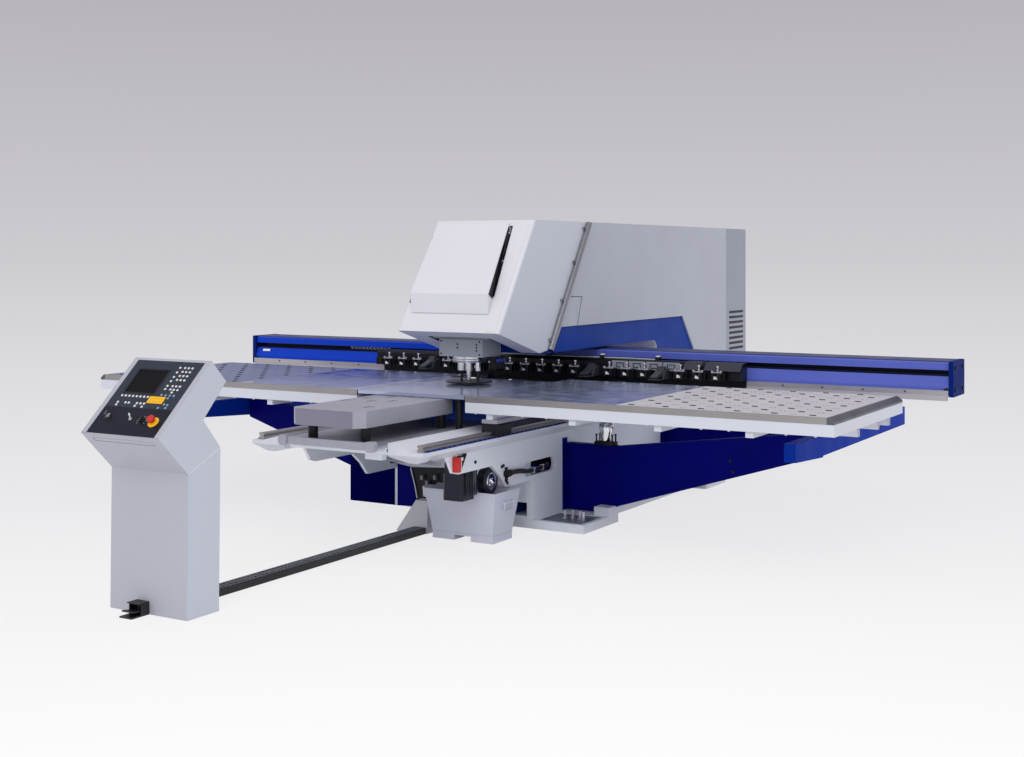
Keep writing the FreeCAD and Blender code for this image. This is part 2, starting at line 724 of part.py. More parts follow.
# ---- Guideways ----
def guide_beam():
    """White folded beam: sloping inner apron, rail land and slanting underside."""
    outline = [
        (GUIDE_INNER_X, GUIDE_INNER_TOP),
        (GUIDE_X - RAIL_WIDTH / 2 - 12, GUIDE_TOP),
        (GUIDE_OUTER_X, GUIDE_TOP),
        (GUIDE_OUTER_X, GUIDE_TOP - GUIDE_LIP),
        (SIDE_PLATE_X + 8, BEAM_SEAT_HEIGHT),
        (SIDE_PLATE_X - 60, BEAM_SEAT_HEIGHT),
        (GUIDE_INNER_X, GUIDE_TOP - 40),
    ]
    beam = front_profile(outline, GUIDE_FRONT, GUIDE_BACK)
    hollow = front_profile(inset(outline, GUIDE_WALL), GUIDE_FRONT + GUIDE_WALL,
                           GUIDE_BACK - GUIDE_WALL)
    beam = beam.cut(hollow)
    # The front end is bevelled from below and closed with a slanting plate.
    drop = GUIDE_TOP - GUIDE_LIP
    wedge = side_profile([(GUIDE_FRONT, drop), (GUIDE_FRONT, BEAM_SEAT_HEIGHT),
                          (GUIDE_FRONT + 60, BEAM_SEAT_HEIGHT)],
                         GUIDE_INNER_X, GUIDE_OUTER_X)
    closing = side_profile([(GUIDE_FRONT, drop), (GUIDE_FRONT + 60, BEAM_SEAT_HEIGHT),
                            (GUIDE_FRONT + 60 + GUIDE_WALL * 2, BEAM_SEAT_HEIGHT),
                            (GUIDE_FRONT + GUIDE_WALL * 2, drop)],
                           GUIDE_INNER_X, GUIDE_OUTER_X)
    closing = closing.common(front_profile(outline, GUIDE_FRONT, GUIDE_BACK))
    return joined([beam.cut(wedge), closing])


def guide_rail():
    """Profiled linear rail: head, waist and foot."""
    half = RAIL_WIDTH / 2
    top = GUIDE_TOP + RAIL_HEIGHT
    outline = [
        (GUIDE_X - half, GUIDE_TOP),
        (GUIDE_X + half, GUIDE_TOP),
        (GUIDE_X + half, GUIDE_TOP + RAIL_HEIGHT * 0.34),
        (GUIDE_X + half - RAIL_WAIST, GUIDE_TOP + RAIL_HEIGHT * 0.55),
        (GUIDE_X + half, GUIDE_TOP + RAIL_HEIGHT * 0.76),
        (GUIDE_X + half, top),
        (GUIDE_X - half, top),
        (GUIDE_X - half, GUIDE_TOP + RAIL_HEIGHT * 0.76),
        (GUIDE_X - half + RAIL_WAIST, GUIDE_TOP + RAIL_HEIGHT * 0.55),
        (GUIDE_X - half, GUIDE_TOP + RAIL_HEIGHT * 0.34),
    ]
    return front_profile(outline, GUIDE_FRONT + RAIL_END_INSET, GUIDE_BACK - RAIL_END_INSET)


def bearing_block(centre_y):
    """Runner block that straddles the rail and carries the slide."""
    half = BLOCK_WIDTH / 2
    reach = RAIL_WIDTH / 2 + RUNNING_GAP
    rail_top = GUIDE_TOP + RAIL_HEIGHT
    bottom = rail_top - BLOCK_SKIRT
    outline = [
        (GUIDE_X - half, bottom),
        (GUIDE_X - reach, bottom),
        (GUIDE_X - reach, rail_top + RUNNING_GAP),
        (GUIDE_X + reach, rail_top + RUNNING_GAP),
        (GUIDE_X + reach, bottom),
        (GUIDE_X + half, bottom),
        (GUIDE_X + half, BLOCK_TOP - 14),
        (GUIDE_X + half - 12, BLOCK_TOP),
        (GUIDE_X - half + 12, BLOCK_TOP),
        (GUIDE_X - half, BLOCK_TOP - 14),
    ]
    length = BLOCK_LENGTH / 2
    return front_profile(outline, centre_y - length, centre_y + length)


def bearing_blocks():
    return [bearing_block(BLOCK_FRONT_Y), bearing_block(BLOCK_REAR_Y)]


def slide_beam():
    """Long saddle plate on the runner blocks, with the rail pedestal on it."""
    half = BLOCK_WIDTH / 2
    saddle = block(GUIDE_X - half, GUIDE_X + half, BLOCK_FRONT_Y - BLOCK_LENGTH / 2,
                   RAIL_BACK - 10, SADDLE_BOTTOM, SADDLE_TOP)
    pedestal = side_profile([
        (TABLE_BACK + RAIL_PEDESTAL_GAP, SADDLE_TOP),
        (RAIL_BACK - 10, SADDLE_TOP),
        (RAIL_BACK - 10, RAIL_BOTTOM),
        (RAIL_FRONT + 20, RAIL_BOTTOM),
    ], GUIDE_X - 30, GUIDE_X + 30)
    return joined([saddle, pedestal])


# ---- Moving table ----
def table_plate():
    """Inner polished table plate of one wing."""
    return block(TABLE_INNER_X, TABLE_SEAM_X, TABLE_FRONT + EDGE_STRIP_THICKNESS,
                 TABLE_BACK, PLATE_BOTTOM, TABLE_HEIGHT)


def brush_places():
    """Staggered brush places on the outer half of a wing, as (x, y) pairs."""
    first_x = TABLE_SEAM_X + BRUSH_LENGTH + 40
    last_x = TABLE_OUTER_X - RAMP_WIDTH - BRUSH_LENGTH
    first_y = TABLE_FRONT + EDGE_STRIP_THICKNESS + 60
    last_y = TABLE_BACK - 40
    rows = int((last_y - first_y) / BRUSH_PITCH_Y) + 1
    columns = int((last_x - first_x) / BRUSH_PITCH_X) + 1
    places = []
    for row in range(rows):
        shift = BRUSH_PITCH_X / 2 if row % 2 else 0.0
        for column in range(columns):
            x = first_x + column * BRUSH_PITCH_X + shift
            if x < last_x:
                places.append((x, first_y + row * BRUSH_PITCH_Y))
    return places


def brush_table():
    """Outer table plate with a slot for each brush insert."""
    plate = block(TABLE_SEAM_X, TABLE_OUTER_X - RAMP_WIDTH,
                  TABLE_FRONT + EDGE_STRIP_THICKNESS, TABLE_BACK,
                  PLATE_BOTTOM, TABLE_HEIGHT)
    return plate


def brush_inserts():
    tufts = []
    for x, y in brush_places():
        tufts.append(block(x - BRUSH_LENGTH / 2, x + BRUSH_LENGTH / 2,
                           y - BRUSH_WIDTH / 2, y + BRUSH_WIDTH / 2,
                           TABLE_HEIGHT, TABLE_HEIGHT + BRUSH_HEIGHT))
    return tufts


def edge_strip():
    """Ground steel strip along the front edge of one wing."""
    return block(TABLE_INNER_X, TABLE_OUTER_X - RAMP_WIDTH, TABLE_FRONT,
                 TABLE_FRONT + EDGE_STRIP_THICKNESS, SKIRT_TOP, TABLE_HEIGHT)


def end_ramp():
    """Bevelled loading strip along the outer end of one wing."""
    inner = TABLE_OUTER_X - RAMP_WIDTH
    outline = [
        (inner, SKIRT_TOP),
        (TABLE_OUTER_X, SKIRT_TOP),
        (TABLE_OUTER_X, TABLE_HEIGHT - RAMP_DROP),
        (inner + RAMP_WIDTH * 0.3, TABLE_HEIGHT),
        (inner, TABLE_HEIGHT),
    ]
    return front_profile(outline, TABLE_FRONT, TABLE_BACK)


def wing_frame():
    """White welded frame under one wing: skirt all round and ribs below it."""
    inner = TABLE_INNER_X
    outer = TABLE_OUTER_X
    skirt = block(inner, outer, TABLE_FRONT + 2, TABLE_BACK, SKIRT_BOTTOM, SKIRT_TOP)
    skirt = skirt.cut(block(inner + SKIRT_WALL, outer - SKIRT_WALL,
                            TABLE_FRONT + 2 + SKIRT_WALL, TABLE_BACK - SKIRT_WALL,
                            SKIRT_BOTTOM, SKIRT_TOP))
    parts = [skirt]
    clear = EDGE_STRIP_THICKNESS + 2
    rib_places = [outer - RIB_END_INSET - i * RIB_PITCH for i in range(RIB_COUNT)]
    seat = block(GUIDE_X - RIB_WIDTH / 2, GUIDE_X + RIB_WIDTH / 2, TABLE_FRONT + clear,
                 TABLE_BACK, SADDLE_TOP, PLATE_BOTTOM)
    parts.append(seat)
    for x in rib_places:
        parts.append(block(x, x + RIB_WIDTH, TABLE_FRONT + clear, TABLE_BACK,
                           SADDLE_TOP, PLATE_BOTTOM))
    for y in (TABLE_FRONT + clear, TABLE_BACK - 40):
        parts.append(block(inner, outer - RAMP_WIDTH, y, y + 40, SKIRT_BOTTOM, PLATE_BOTTOM))
    return joined(parts)


def cross_tubes():
    """Three square tubes under one wing that stick out below the skirt."""
    start = GUIDE_X + BLOCK_WIDTH / 2 + 20
    end = TABLE_OUTER_X - TUBE_END_INSET
    bottom = SADDLE_TOP - TUBE_SIZE
    tubes = []
    for y in TUBE_ROWS:
        body = block(start, end, y - TUBE_SIZE / 2, y + TUBE_SIZE / 2, bottom, SADDLE_TOP)
        bore = block(start, end, y - TUBE_SIZE / 2 + TUBE_WALL, y + TUBE_SIZE / 2 - TUBE_WALL,
                     bottom + TUBE_WALL, SADDLE_TOP - TUBE_WALL)
        tubes.append(body.cut(bore))
    return tubes


# ---- Cross rail ----
def cross_rail_outline():
    """Cap, vertical land, recess, sloping apron and foot, as (y, z) points."""
    strip_top = RAIL_BOTTOM + RAIL_STRIP_HEIGHT
    cap_front = RAIL_FRONT + RAIL_CAP_DEPTH
    recess_top = RAIL_TOP - RAIL_LAND_HEIGHT
    recess_bottom = recess_top - RAIL_RECESS_HEIGHT
    return [
        (RAIL_FRONT + RAIL_STRIP_DEPTH, RAIL_BOTTOM),
        (RAIL_BACK, RAIL_BOTTOM),
        (RAIL_BACK, RAIL_TOP),
        (cap_front + 26, RAIL_TOP),
        (cap_front, RAIL_TOP - 14),
        (cap_front, recess_top),
        (cap_front + RAIL_RECESS_DEPTH, recess_top),
        (cap_front + RAIL_RECESS_DEPTH, recess_bottom),
        (cap_front + 18, recess_bottom),
        (RAIL_FRONT + RAIL_STRIP_DEPTH, strip_top + 20),
    ]


def cross_rail():
    body = side_profile(cross_rail_outline(), -RAIL_HALF_LENGTH, RAIL_HALF_LENGTH)
    y0 = RAIL_FRONT + RAIL_CAP_DEPTH + RAIL_RECESS_DEPTH + 16
    bore = block(-RAIL_HALF_LENGTH, RAIL_HALF_LENGTH, y0, RAIL_BACK - 12,
                 RAIL_BOTTOM + 12, RAIL_TOP - 12)
    return body.cut(bore)


def rail_strip():
    """Hardened steel guide strip along the foot of the cross rail."""
    y0 = RAIL_FRONT
    y1 = RAIL_FRONT + RAIL_STRIP_DEPTH
    return block(-RAIL_HALF_LENGTH, RAIL_HALF_LENGTH, y0, y1,
                 RAIL_BOTTOM, RAIL_BOTTOM + RAIL_STRIP_HEIGHT)


def rail_end_cap():
    cap = block(RAIL_HALF_LENGTH, RAIL_HALF_LENGTH + END_CAP_THICKNESS,
                RAIL_FRONT - END_CAP_OVERHANG + 30, RAIL_BACK + END_CAP_OVERHANG,
                RAIL_BOTTOM - END_CAP_OVERHANG, RAIL_TOP + 2)
    edges = [e for e in cap.Edges if e.BoundBox.XLength > END_CAP_THICKNESS - 1]
    return cap.makeFillet(8, edges)


# ---- Tool carriage ----
def tool_stations():
    """Index and X of every station that holds a tool, not a clamp."""
    indexes = range(-STATION_SIDE_COUNT, STATION_SIDE_COUNT + 1)
    return [(i, i * STATION_PITCH) for i in indexes if i not in CLAMP_STATIONS]


def carriage_back():
    return RAIL_FRONT - RUNNING_GAP


def carriage_beam():
    """Long black beam that runs on the cross rail and carries every station."""
    back = carriage_back()
    outline = [
        (CARRIAGE_FRONT, CARRIAGE_BOTTOM),
        (back, CARRIAGE_BOTTOM),
        (back, CARRIAGE_TOP),
        (CARRIAGE_FRONT + 40, CARRIAGE_TOP),
        (CARRIAGE_FRONT + 16, CARRIAGE_TOP - 22),
        (CARRIAGE_FRONT + 16, CARRIAGE_BOTTOM + CASSETTE_HEIGHT),
        (CARRIAGE_FRONT, CARRIAGE_BOTTOM + CASSETTE_HEIGHT),
    ]
    beam = side_profile(outline, -CARRIAGE_HALF_LENGTH, CARRIAGE_HALF_LENGTH)
    return beam


def carriage_runners():
    """Tongues over the rail apron that guide the carriage in the recess."""
    floor = RAIL_TOP - RAIL_LAND_HEIGHT - RAIL_RECESS_HEIGHT + RUNNING_GAP
    reach = RAIL_FRONT + RAIL_CAP_DEPTH + RAIL_RECESS_DEPTH - 8
    runners = []
    for i in range(RUNNER_COUNT):
        x = (i - (RUNNER_COUNT - 1) / 2) * RUNNER_PITCH
        runners.append(block(x - RUNNER_WIDTH / 2, x + RUNNER_WIDTH / 2, carriage_back(),
                             reach, floor, floor + RUNNER_THICKNESS))
    return runners


def cassette(x):
    """Black fork cassette with a tool slot open to the front."""
    front = CARRIAGE_FRONT - CASSETTE_REACH
    half = CASSETTE_WIDTH / 2
    body = block(x - half, x + half, front, CARRIAGE_FRONT,
                 CARRIAGE_BOTTOM, CARRIAGE_BOTTOM + CASSETTE_HEIGHT)
    reach = TOOL_RADIUS + RUNNING_GAP
    slot = block(x - reach, x + reach, front, CARRIAGE_FRONT - TOOL_SETBACK + reach,
                 CARRIAGE_BOTTOM, CARRIAGE_BOTTOM + CASSETTE_HEIGHT)
    left = block(x - half, x - half + 22, front, front + 26,
                 CARRIAGE_BOTTOM, CARRIAGE_BOTTOM + CASSETTE_HEIGHT)
    right = left.translated(Vector(CASSETTE_WIDTH - 22, 0, 0))
    return body.cut(slot).cut(group([left, right]))


def tool(x):
    """Bright punch tool: shank in the fork, alignment ring and head."""
    y = CARRIAGE_FRONT - TOOL_SETBACK
    seat = CARRIAGE_BOTTOM + CASSETTE_HEIGHT
    top = CARRIAGE_BOTTOM + TOOL_HEIGHT
    shank = faceted_rod((x, y, CARRIAGE_BOTTOM + 4), (0, 0, 1), TOOL_RADIUS,
                        CASSETTE_HEIGHT - 4, 8)
    ring = faceted_rod((x, y, seat), (0, 0, 1), TOOL_RADIUS + 12, 9, 8)
    neck = faceted_rod((x, y, seat + 9), (0, 0, 1), TOOL_RADIUS - 4, top - seat - 9, 8)
    head = faceted_rod((x, y, top), (0, 0, 1), TOOL_RADIUS, 16, 8)
    return joined([shank, ring, neck, head])


def clamp_tip():
    return CARRIAGE_FRONT - CLAMP_REACH


def clamp_body(x):
    """Lower jaw and cheeks of one sheet clamp."""
    half = CLAMP_WIDTH / 2
    hinge_y, hinge_z = clamp_hinge()
    jaw_top = CARRIAGE_BOTTOM - 4 + CLAMP_JAW * 0.6
    jaw = block(x - half, x + half, clamp_tip(), CARRIAGE_FRONT,
                CARRIAGE_BOTTOM - 4, jaw_top)
    cheek = side_profile([
        (CARRIAGE_FRONT - 110, jaw_top),
        (CARRIAGE_FRONT, jaw_top),
        (CARRIAGE_FRONT, hinge_z + 30),
        (CARRIAGE_FRONT - 30, hinge_z + 30),
        (hinge_y - 20, hinge_z + 12),
    ], x - half, x - half + 14)
    other = cheek.translated(Vector(CLAMP_WIDTH - 14, 0, 0))
    pin = rod((x - half, hinge_y, hinge_z), (1, 0, 0), 7, CLAMP_WIDTH)
    return joined([jaw, cheek, other, pin])


def clamp_hinge():
    return CARRIAGE_FRONT - 66, CARRIAGE_BOTTOM + 44


def clamp_jaw(x):
    """Upper jaw: a grey rocker arm on the clamp pin."""
    half = CLAMP_WIDTH / 2 - 14 - RUNNING_GAP
    hinge_y, hinge_z = clamp_hinge()
    pad = CARRIAGE_BOTTOM - 4 + CLAMP_JAW * 0.6 + CLAMP_MOUTH
    arm = side_profile([
        (clamp_tip(), pad),
        (clamp_tip() + 34, pad),
        (hinge_y - 10, hinge_z - 16),
        (hinge_y + 18, hinge_z - 16),
        (hinge_y + 34, hinge_z),
        (hinge_y + 34, hinge_z + 46),
        (hinge_y + 6, hinge_z + 46),
        (hinge_y - 14, hinge_z + 18),
        (clamp_tip() + 8, pad + 14),
        (clamp_tip(), pad + 8),
    ], x - half, x + half)
    return arm.cut(rod((x - half, hinge_y, hinge_z), (1, 0, 0), 7 + RUNNING_GAP, 2 * half))


def connector_places():
    middle = (CONNECTOR_COUNT - 1) / 2
    return [(i - middle) * CONNECTOR_PITCH for i in range(CONNECTOR_COUNT)]


def line_y():
    return (CARRIAGE_FRONT + 40 + carriage_back()) / 2


def connector(x):
    """Small junction block on the carriage where two service lines meet."""
    half = CONNECTOR_SIZE / 2
    return block(x - half, x + half, line_y() - half, line_y() + half,
                 CARRIAGE_TOP, CARRIAGE_TOP + CONNECTOR_SIZE * 0.7)


def carriage_lines():
    """Service lines that lie in a gentle wave from block to block."""
    lines = []
    places = connector_places()
    z = CARRIAGE_TOP + LINE_RADIUS
    for k in range(CONNECTOR_COUNT - 1):
        start = places[k] + CONNECTOR_SIZE / 2
        end = places[k + 1] - CONNECTOR_SIZE / 2
        step = (end - start) / 4
        side = LINE_WAVE if k % 2 else -LINE_WAVE
        points = [(start, line_y(), z), (start + step, line_y() + side * 0.2, z),
                  (start + 2 * step, line_y() + side, z), (start + 3 * step, line_y() - side, z),
                  (end, line_y() - side * 0.4, z)]
        lines.append(tube_along(points, LINE_RADIUS))
    return lines


def cover_sheets():
    """Grey sheet guards over the right end of the carriage."""
    sheets = []
    z = CARRIAGE_TOP
    for x0, x1 in ((1210.0, 1350.0), (1380.0, CARRIAGE_HALF_LENGTH)):
        sheets.append(side_profile([
            (carriage_back(), z),
            (carriage_back(), z + 4),
            (CARRIAGE_FRONT + 36, z + 4),
            (CARRIAGE_FRONT - 24, z - 50),
            (CARRIAGE_FRONT - 24, z - 56),
            (CARRIAGE_FRONT - 20, z - 56),
            (CARRIAGE_FRONT + 38, z),
        ], x0, x1))
    return sheets


# ---- Punching head ----
def head_casting():
    """Cast guide over the rotor: nose block below, cylinder barrel above."""
    bottom = HEAD_BOTTOM
    top = HEAD_BOTTOM + HEAD_BLOCK_HEIGHT
    lower = block(-HEAD_HALF_WIDTH, HEAD_HALF_WIDTH, HEAD_FRONT, HEAD_BLOCK_BACK, bottom, top)
    upright = [e for e in lower.Edges if e.BoundBox.ZLength > HEAD_BLOCK_HEIGHT - 1]
    lower = lower.makeChamfer(6, upright)
    upper = block(-HEAD_CASTING_HALF_WIDTH, HEAD_CASTING_HALF_WIDTH, HEAD_FRONT + 10,
                  ARM_NOSE, top, HEAD_CASTING_TOP - CYLINDER_BARREL_HEIGHT)
    barrel = faceted_rod((0, 0, HEAD_CASTING_TOP - CYLINDER_BARREL_HEIGHT), (0, 0, 1), 90,
                         CYLINDER_BARREL_HEIGHT, 24)
    return joined([lower, upper, barrel])


def stripper_axes():
    """X and barrel radius of the two cylinders that press the stripper."""
    return [(LEFT_CYLINDER_X, LEFT_CYLINDER_RADIUS),
            (RIGHT_CYLINDER_X, RIGHT_CYLINDER_RADIUS)]


def rotor_bottom():
    return HEAD_BOTTOM - ROTOR_GAP - ROTOR_THICKNESS


def tool_rotor():
    """Index ring under the head that turns the tool, with its two cylinders."""
    bottom = rotor_bottom()
    body = rod((0, 0, bottom), (0, 0, 1), ROTOR_RADIUS, ROTOR_THICKNESS)
    for x, radius in stripper_axes():
        barrel = faceted_rod((x, 0, bottom - CYLINDER_LENGTH), (0, 0, 1), radius,
                             CYLINDER_LENGTH, 16)
        body = body.fuse(barrel)
    for x, radius in stripper_axes():
        body = body.cut(faceted_bore((x, 0, bottom - CYLINDER_LENGTH), (0, 0, 1),
                                     STRIPPER_ROD_RADIUS + RUNNING_GAP, CYLINDER_LENGTH, 12))
    bore = rod((0, 0, bottom - CYLINDER_LENGTH), (0, 0, 1), RAM_RADIUS + RUNNING_GAP,
               CYLINDER_LENGTH + ROTOR_THICKNESS)
    return body.cut(bore).removeSplitter()


def punch_ram():
    """Ram that slides through the rotor and stops short of the head casting."""
    top = HEAD_BOTTOM - RAM_TOP_GAP
    return rod((0, 0, RAM_BOTTOM), (0, 0, 1), RAM_RADIUS, top - RAM_BOTTOM)


def punch():
    """Round punch under the ram: slender point, then the shank with its shoulder."""
    bottom = RAM_BOTTOM - PUNCH_LENGTH
    shoulder = bottom + PUNCH_POINT_LENGTH
    point = faceted_rod((0, 0, bottom), (0, 0, 1), DIE_BORE_RADIUS - 3, PUNCH_POINT_LENGTH, 16)
    shank = faceted_rod((0, 0, shoulder), (0, 0, 1), PUNCH_RADIUS, RAM_BOTTOM - shoulder, 16)
    return [point, shank]


def stripper():
    """Round stripper plate with the rods that run into the two cylinders."""
    plate = rod((0, 0, STRIPPER_BOTTOM), (0, 0, 1), STRIPPER_RADIUS, STRIPPER_THICKNESS)
    hole = faceted_bore((0, 0, STRIPPER_BOTTOM), (0, 0, 1), PUNCH_RADIUS + 2,
                        STRIPPER_THICKNESS, 16)
    parts = [plate.cut(hole)]
    foot = STRIPPER_BOTTOM + STRIPPER_THICKNESS
    reach = rotor_bottom() - CYLINDER_LENGTH + ROD_ENGAGEMENT
    for x, radius in stripper_axes():
        parts.append(faceted_rod((x, 0, foot), (0, 0, 1), STRIPPER_ROD_RADIUS, reach - foot, 12))
    return joined(parts)


# ---- Centre table and die ----
def centre_table():
    """Fixed table plate between the wings, bored for the die holder."""
    bottom = TABLE_HEIGHT - CENTRE_TABLE_THICKNESS
    plate = block(-CENTRE_TABLE_HALF_WIDTH, CENTRE_TABLE_HALF_WIDTH, TABLE_FRONT,
                  CENTRE_TABLE_BACK, bottom, TABLE_HEIGHT)
    return plate.cut(rod((0, 0, bottom), (0, 0, 1), DIE_HOLDER_RADIUS + RUNNING_GAP,
                         CENTRE_TABLE_THICKNESS))


def table_prop():
    """Black prop with a flared head that carries the front of the fixed plate."""
    top = TABLE_HEIGHT - CENTRE_TABLE_THICKNESS
    y = TABLE_FRONT + 60
    x = CENTRE_TABLE_HALF_WIDTH - 75
    stem = faceted_rod((x, y, PLATFORM_TOP), (0, 0, 1), 24, top - PLATFORM_TOP - 30, 16)
    head = faceted_cone((x, y, top - 30), (0, 0, 1), 24, 34, 30, 16)
    return joined([stem, head])


def die_holder():
    height = DIE_TOP - THROAT_FLOOR
    body = rod((0, 0, THROAT_FLOOR), (0, 0, 1), DIE_HOLDER_RADIUS, height)
    seat = DIE_TOP - DIE_HEIGHT - RUNNING_GAP
    pocket = rod((0, 0, seat), (0, 0, 1), DIE_RADIUS + RUNNING_GAP, DIE_TOP - seat)
    throat = faceted_bore((0, 0, THROAT_FLOOR), (0, 0, 1), DIE_BORE_RADIUS + 12, height, 12)
    return body.cut(joined([pocket, throat]))


def die():
    bottom = DIE_TOP - DIE_HEIGHT
    ring = rod((0, 0, bottom), (0, 0, 1), DIE_RADIUS, DIE_HEIGHT)
    return ring.cut(faceted_bore((0, 0, bottom), (0, 0, 1), DIE_BORE_RADIUS, DIE_HEIGHT, 16))


# ---- Front platform and loading plate ----
def platform():
    """Grey plate between the guide beams."""
    bottom = PLATFORM_TOP - PLATFORM_THICKNESS
    return block(-GUIDE_INNER_X, GUIDE_INNER_X, PLATFORM_FRONT, PLATFORM_BACK,
                 bottom, PLATFORM_TOP)


def platform_cross_bar():
    """Square bar with flanged ends across the front of the platform."""
    back = PLATFORM_FRONT
    front = back - CROSS_BAR_DEPTH
    middle = PLATFORM_TOP - CROSS_BAR_DROP
    reach = CROSS_BAR_HALF_LENGTH
    bar = block(-reach, reach, front, back,
                middle - CROSS_BAR_HEIGHT / 2, middle + CROSS_BAR_HEIGHT / 2)
    ends = []
    half = CROSS_BAR_FLANGE / 2
    for side in (-1, 1):
        x = side * (reach - 10)
        lug = block(x - 34, x + 34, front - 10, back, middle - half, middle + half)
        edges = [e for e in lug.Edges if e.BoundBox.YLength > CROSS_BAR_DEPTH]
        ends.append(lug.makeChamfer(14, edges))
    return joined([bar] + ends)


def front_cross_member():
    """White folded sheet beam that ties the guide beams under the platform."""
    top = PLATFORM_TOP - PLATFORM_THICKNESS
    front = PLATFORM_FRONT + MEMBER_INSET
    outline = [
        (front, top),
        (front, top - MEMBER_LIP),
        (front + MEMBER_SLOPE, member_bottom()),
        (front + MEMBER_DEPTH, member_bottom()),
        (front + MEMBER_DEPTH, top),
    ]
    body = side_profile(outline, -GUIDE_INNER_X, GUIDE_INNER_X)
    hollow = side_profile(inset(outline, MEMBER_WALL), -GUIDE_INNER_X, GUIDE_INNER_X)
    return body.cut(hollow)


def member_bottom():
    return GUIDE_TOP - MEMBER_RISE


def member_box():
    """Small grey housing under the right half of the front cross member."""
    front = PLATFORM_FRONT + MEMBER_INSET + MEMBER_SLOPE
    return bevelled_plan(MEMBER_BOX_LEFT, MEMBER_BOX_RIGHT, front, front + MEMBER_BOX_DEPTH,
                         member_bottom() - MEMBER_BOX_HEIGHT, member_bottom(), 6)


def loading_plate():
    """Thick steel plate with chamfered corners."""
    half = LOADING_HALF_WIDTH
    cut = LOADING_CHAMFER
    outline = [
        (-half + cut, LOADING_FRONT),
        (half - cut, LOADING_FRONT),
        (half, LOADING_FRONT + cut),
        (half, LOADING_BACK - cut),
        (half - cut, LOADING_BACK),
        (-half + cut, LOADING_BACK),
        (-half, LOADING_BACK - cut),
        (-half, LOADING_FRONT + cut),
    ]
    plate = plan_profile(outline, LOADING_TOP - LOADING_THICKNESS, LOADING_TOP)
    return plate


def loading_posts():
    posts = []
    height = LOADING_TOP - LOADING_THICKNESS - PLATFORM_TOP
    for x in (-LOADING_POST_X, LOADING_POST_X):
        for y in (LOADING_FRONT + LOADING_FRONT_INSET, LOADING_BACK - LOADING_POST_INSET):
            posts.append(faceted_rod((x, y, PLATFORM_TOP), (0, 0, 1), LOADING_POST_RADIUS,
                                     height, 16))
    return posts


# ---- Covers ----
def seam_y(z, offset=0.0):
    """Y of the slanting seam between the hood and the side covers."""
    return SEAM_BOTTOM_Y + (z - SEAM_BOTTOM_Z) * SEAM_SLOPE + offset


def hood_outline():
    return [
        (HOOD_FRONT, HOOD_FRONT_BOTTOM),
        (HOOD_BELLY_Y, HOOD_BELLY_Z),
        (seam_y(SEAM_BOTTOM_Z) - PANEL_GAP, SEAM_BOTTOM_Z),
        (seam_y(COVER_TOP) - PANEL_GAP, COVER_TOP),
        (HOOD_TOP_FRONT, COVER_TOP),
    ]


def hood():
    """Front cover shell over the punching head, open below and behind."""
    outline = hood_outline()
    body = side_profile(outline, -COVER_HALF_WIDTH, COVER_HALF_WIDTH)
    slant = math.hypot(HOOD_TOP_FRONT - HOOD_FRONT, COVER_TOP - HOOD_FRONT_BOTTOM)
    rounded = [e for e in body.Edges if abs(e.Length - slant) < 1e-3]
    body = body.makeFillet(HOOD_CORNER, rounded)
    inner = side_profile(inset(outline, COVER_WALL), -COVER_HALF_WIDTH + COVER_WALL,
                         COVER_HALF_WIDTH - COVER_WALL)
    rise = COVER_TOP - HOOD_FRONT_BOTTOM
    inner_slant = [e for e in inner.Edges if abs(e.Length - slant) < 40 and e.BoundBox.XLength < 1
                   and e.BoundBox.ZLength > 0.8 * rise and e.BoundBox.YMin < HOOD_FRONT + 60]
    inner = inner.makeFillet(HOOD_CORNER - COVER_WALL, inner_slant)
    shell = body.cut(inner)
    opening = block(-HEAD_CASTING_HALF_WIDTH - 30, HEAD_CASTING_HALF_WIDTH + 30,
                    HEAD_FRONT - 30, ARM_NOSE + 400, HOOD_BELLY_Z - 30, HOOD_FRONT_BOTTOM)
    back_open = side_profile([
        (seam_y(SEAM_BOTTOM_Z) - 60, SEAM_BOTTOM_Z - 40),
        (seam_y(SEAM_BOTTOM_Z) + 60, SEAM_BOTTOM_Z - 40),
        (seam_y(COVER_TOP) + 60, COVER_TOP - COVER_WALL),
        (seam_y(COVER_TOP) - 60, COVER_TOP - COVER_WALL),
    ], -COVER_HALF_WIDTH + COVER_WALL, COVER_HALF_WIDTH - COVER_WALL)
    # The upper arm of the frame runs in through the floor of the hood.
    arm_way = block(-ARM_HALF_WIDTH - RUNNING_GAP, ARM_HALF_WIDTH + RUNNING_GAP,
                    ARM_NOSE - PANEL_GAP, ARM_NOSE + 400, THROAT_TOP - 30, SEAM_BOTTOM_Z + 20)
    return shell.cut(opening).cut(arm_way).cut(back_open).cut(grip_slot())


def hood_frame():
    """Place of the slanted front: lower edge point, up direction, out normal."""
    dy = HOOD_TOP_FRONT - HOOD_FRONT
    dz = COVER_TOP - HOOD_FRONT_BOTTOM
    length = math.hypot(dy, dz)
    up = Vector(0, dy / length, dz / length)
    out = Vector(0, -dz / length, dy / length)
    return Vector(0, HOOD_FRONT, HOOD_FRONT_BOTTOM), up, out, length


def slanted_block(x0, x1, s0, s1, n0, n1):
    """A block on the slanted front: x across, s up the slope, n outwards."""
    foot, up, out, length = hood_frame()
    ring = []
    for x, s in ((x0, s0), (x1, s0), (x1, s1), (x0, s1)):
        ring.append(foot + Vector(x, 0, 0) + up * s + out * n0)
    return prism(ring, out * (n1 - n0))


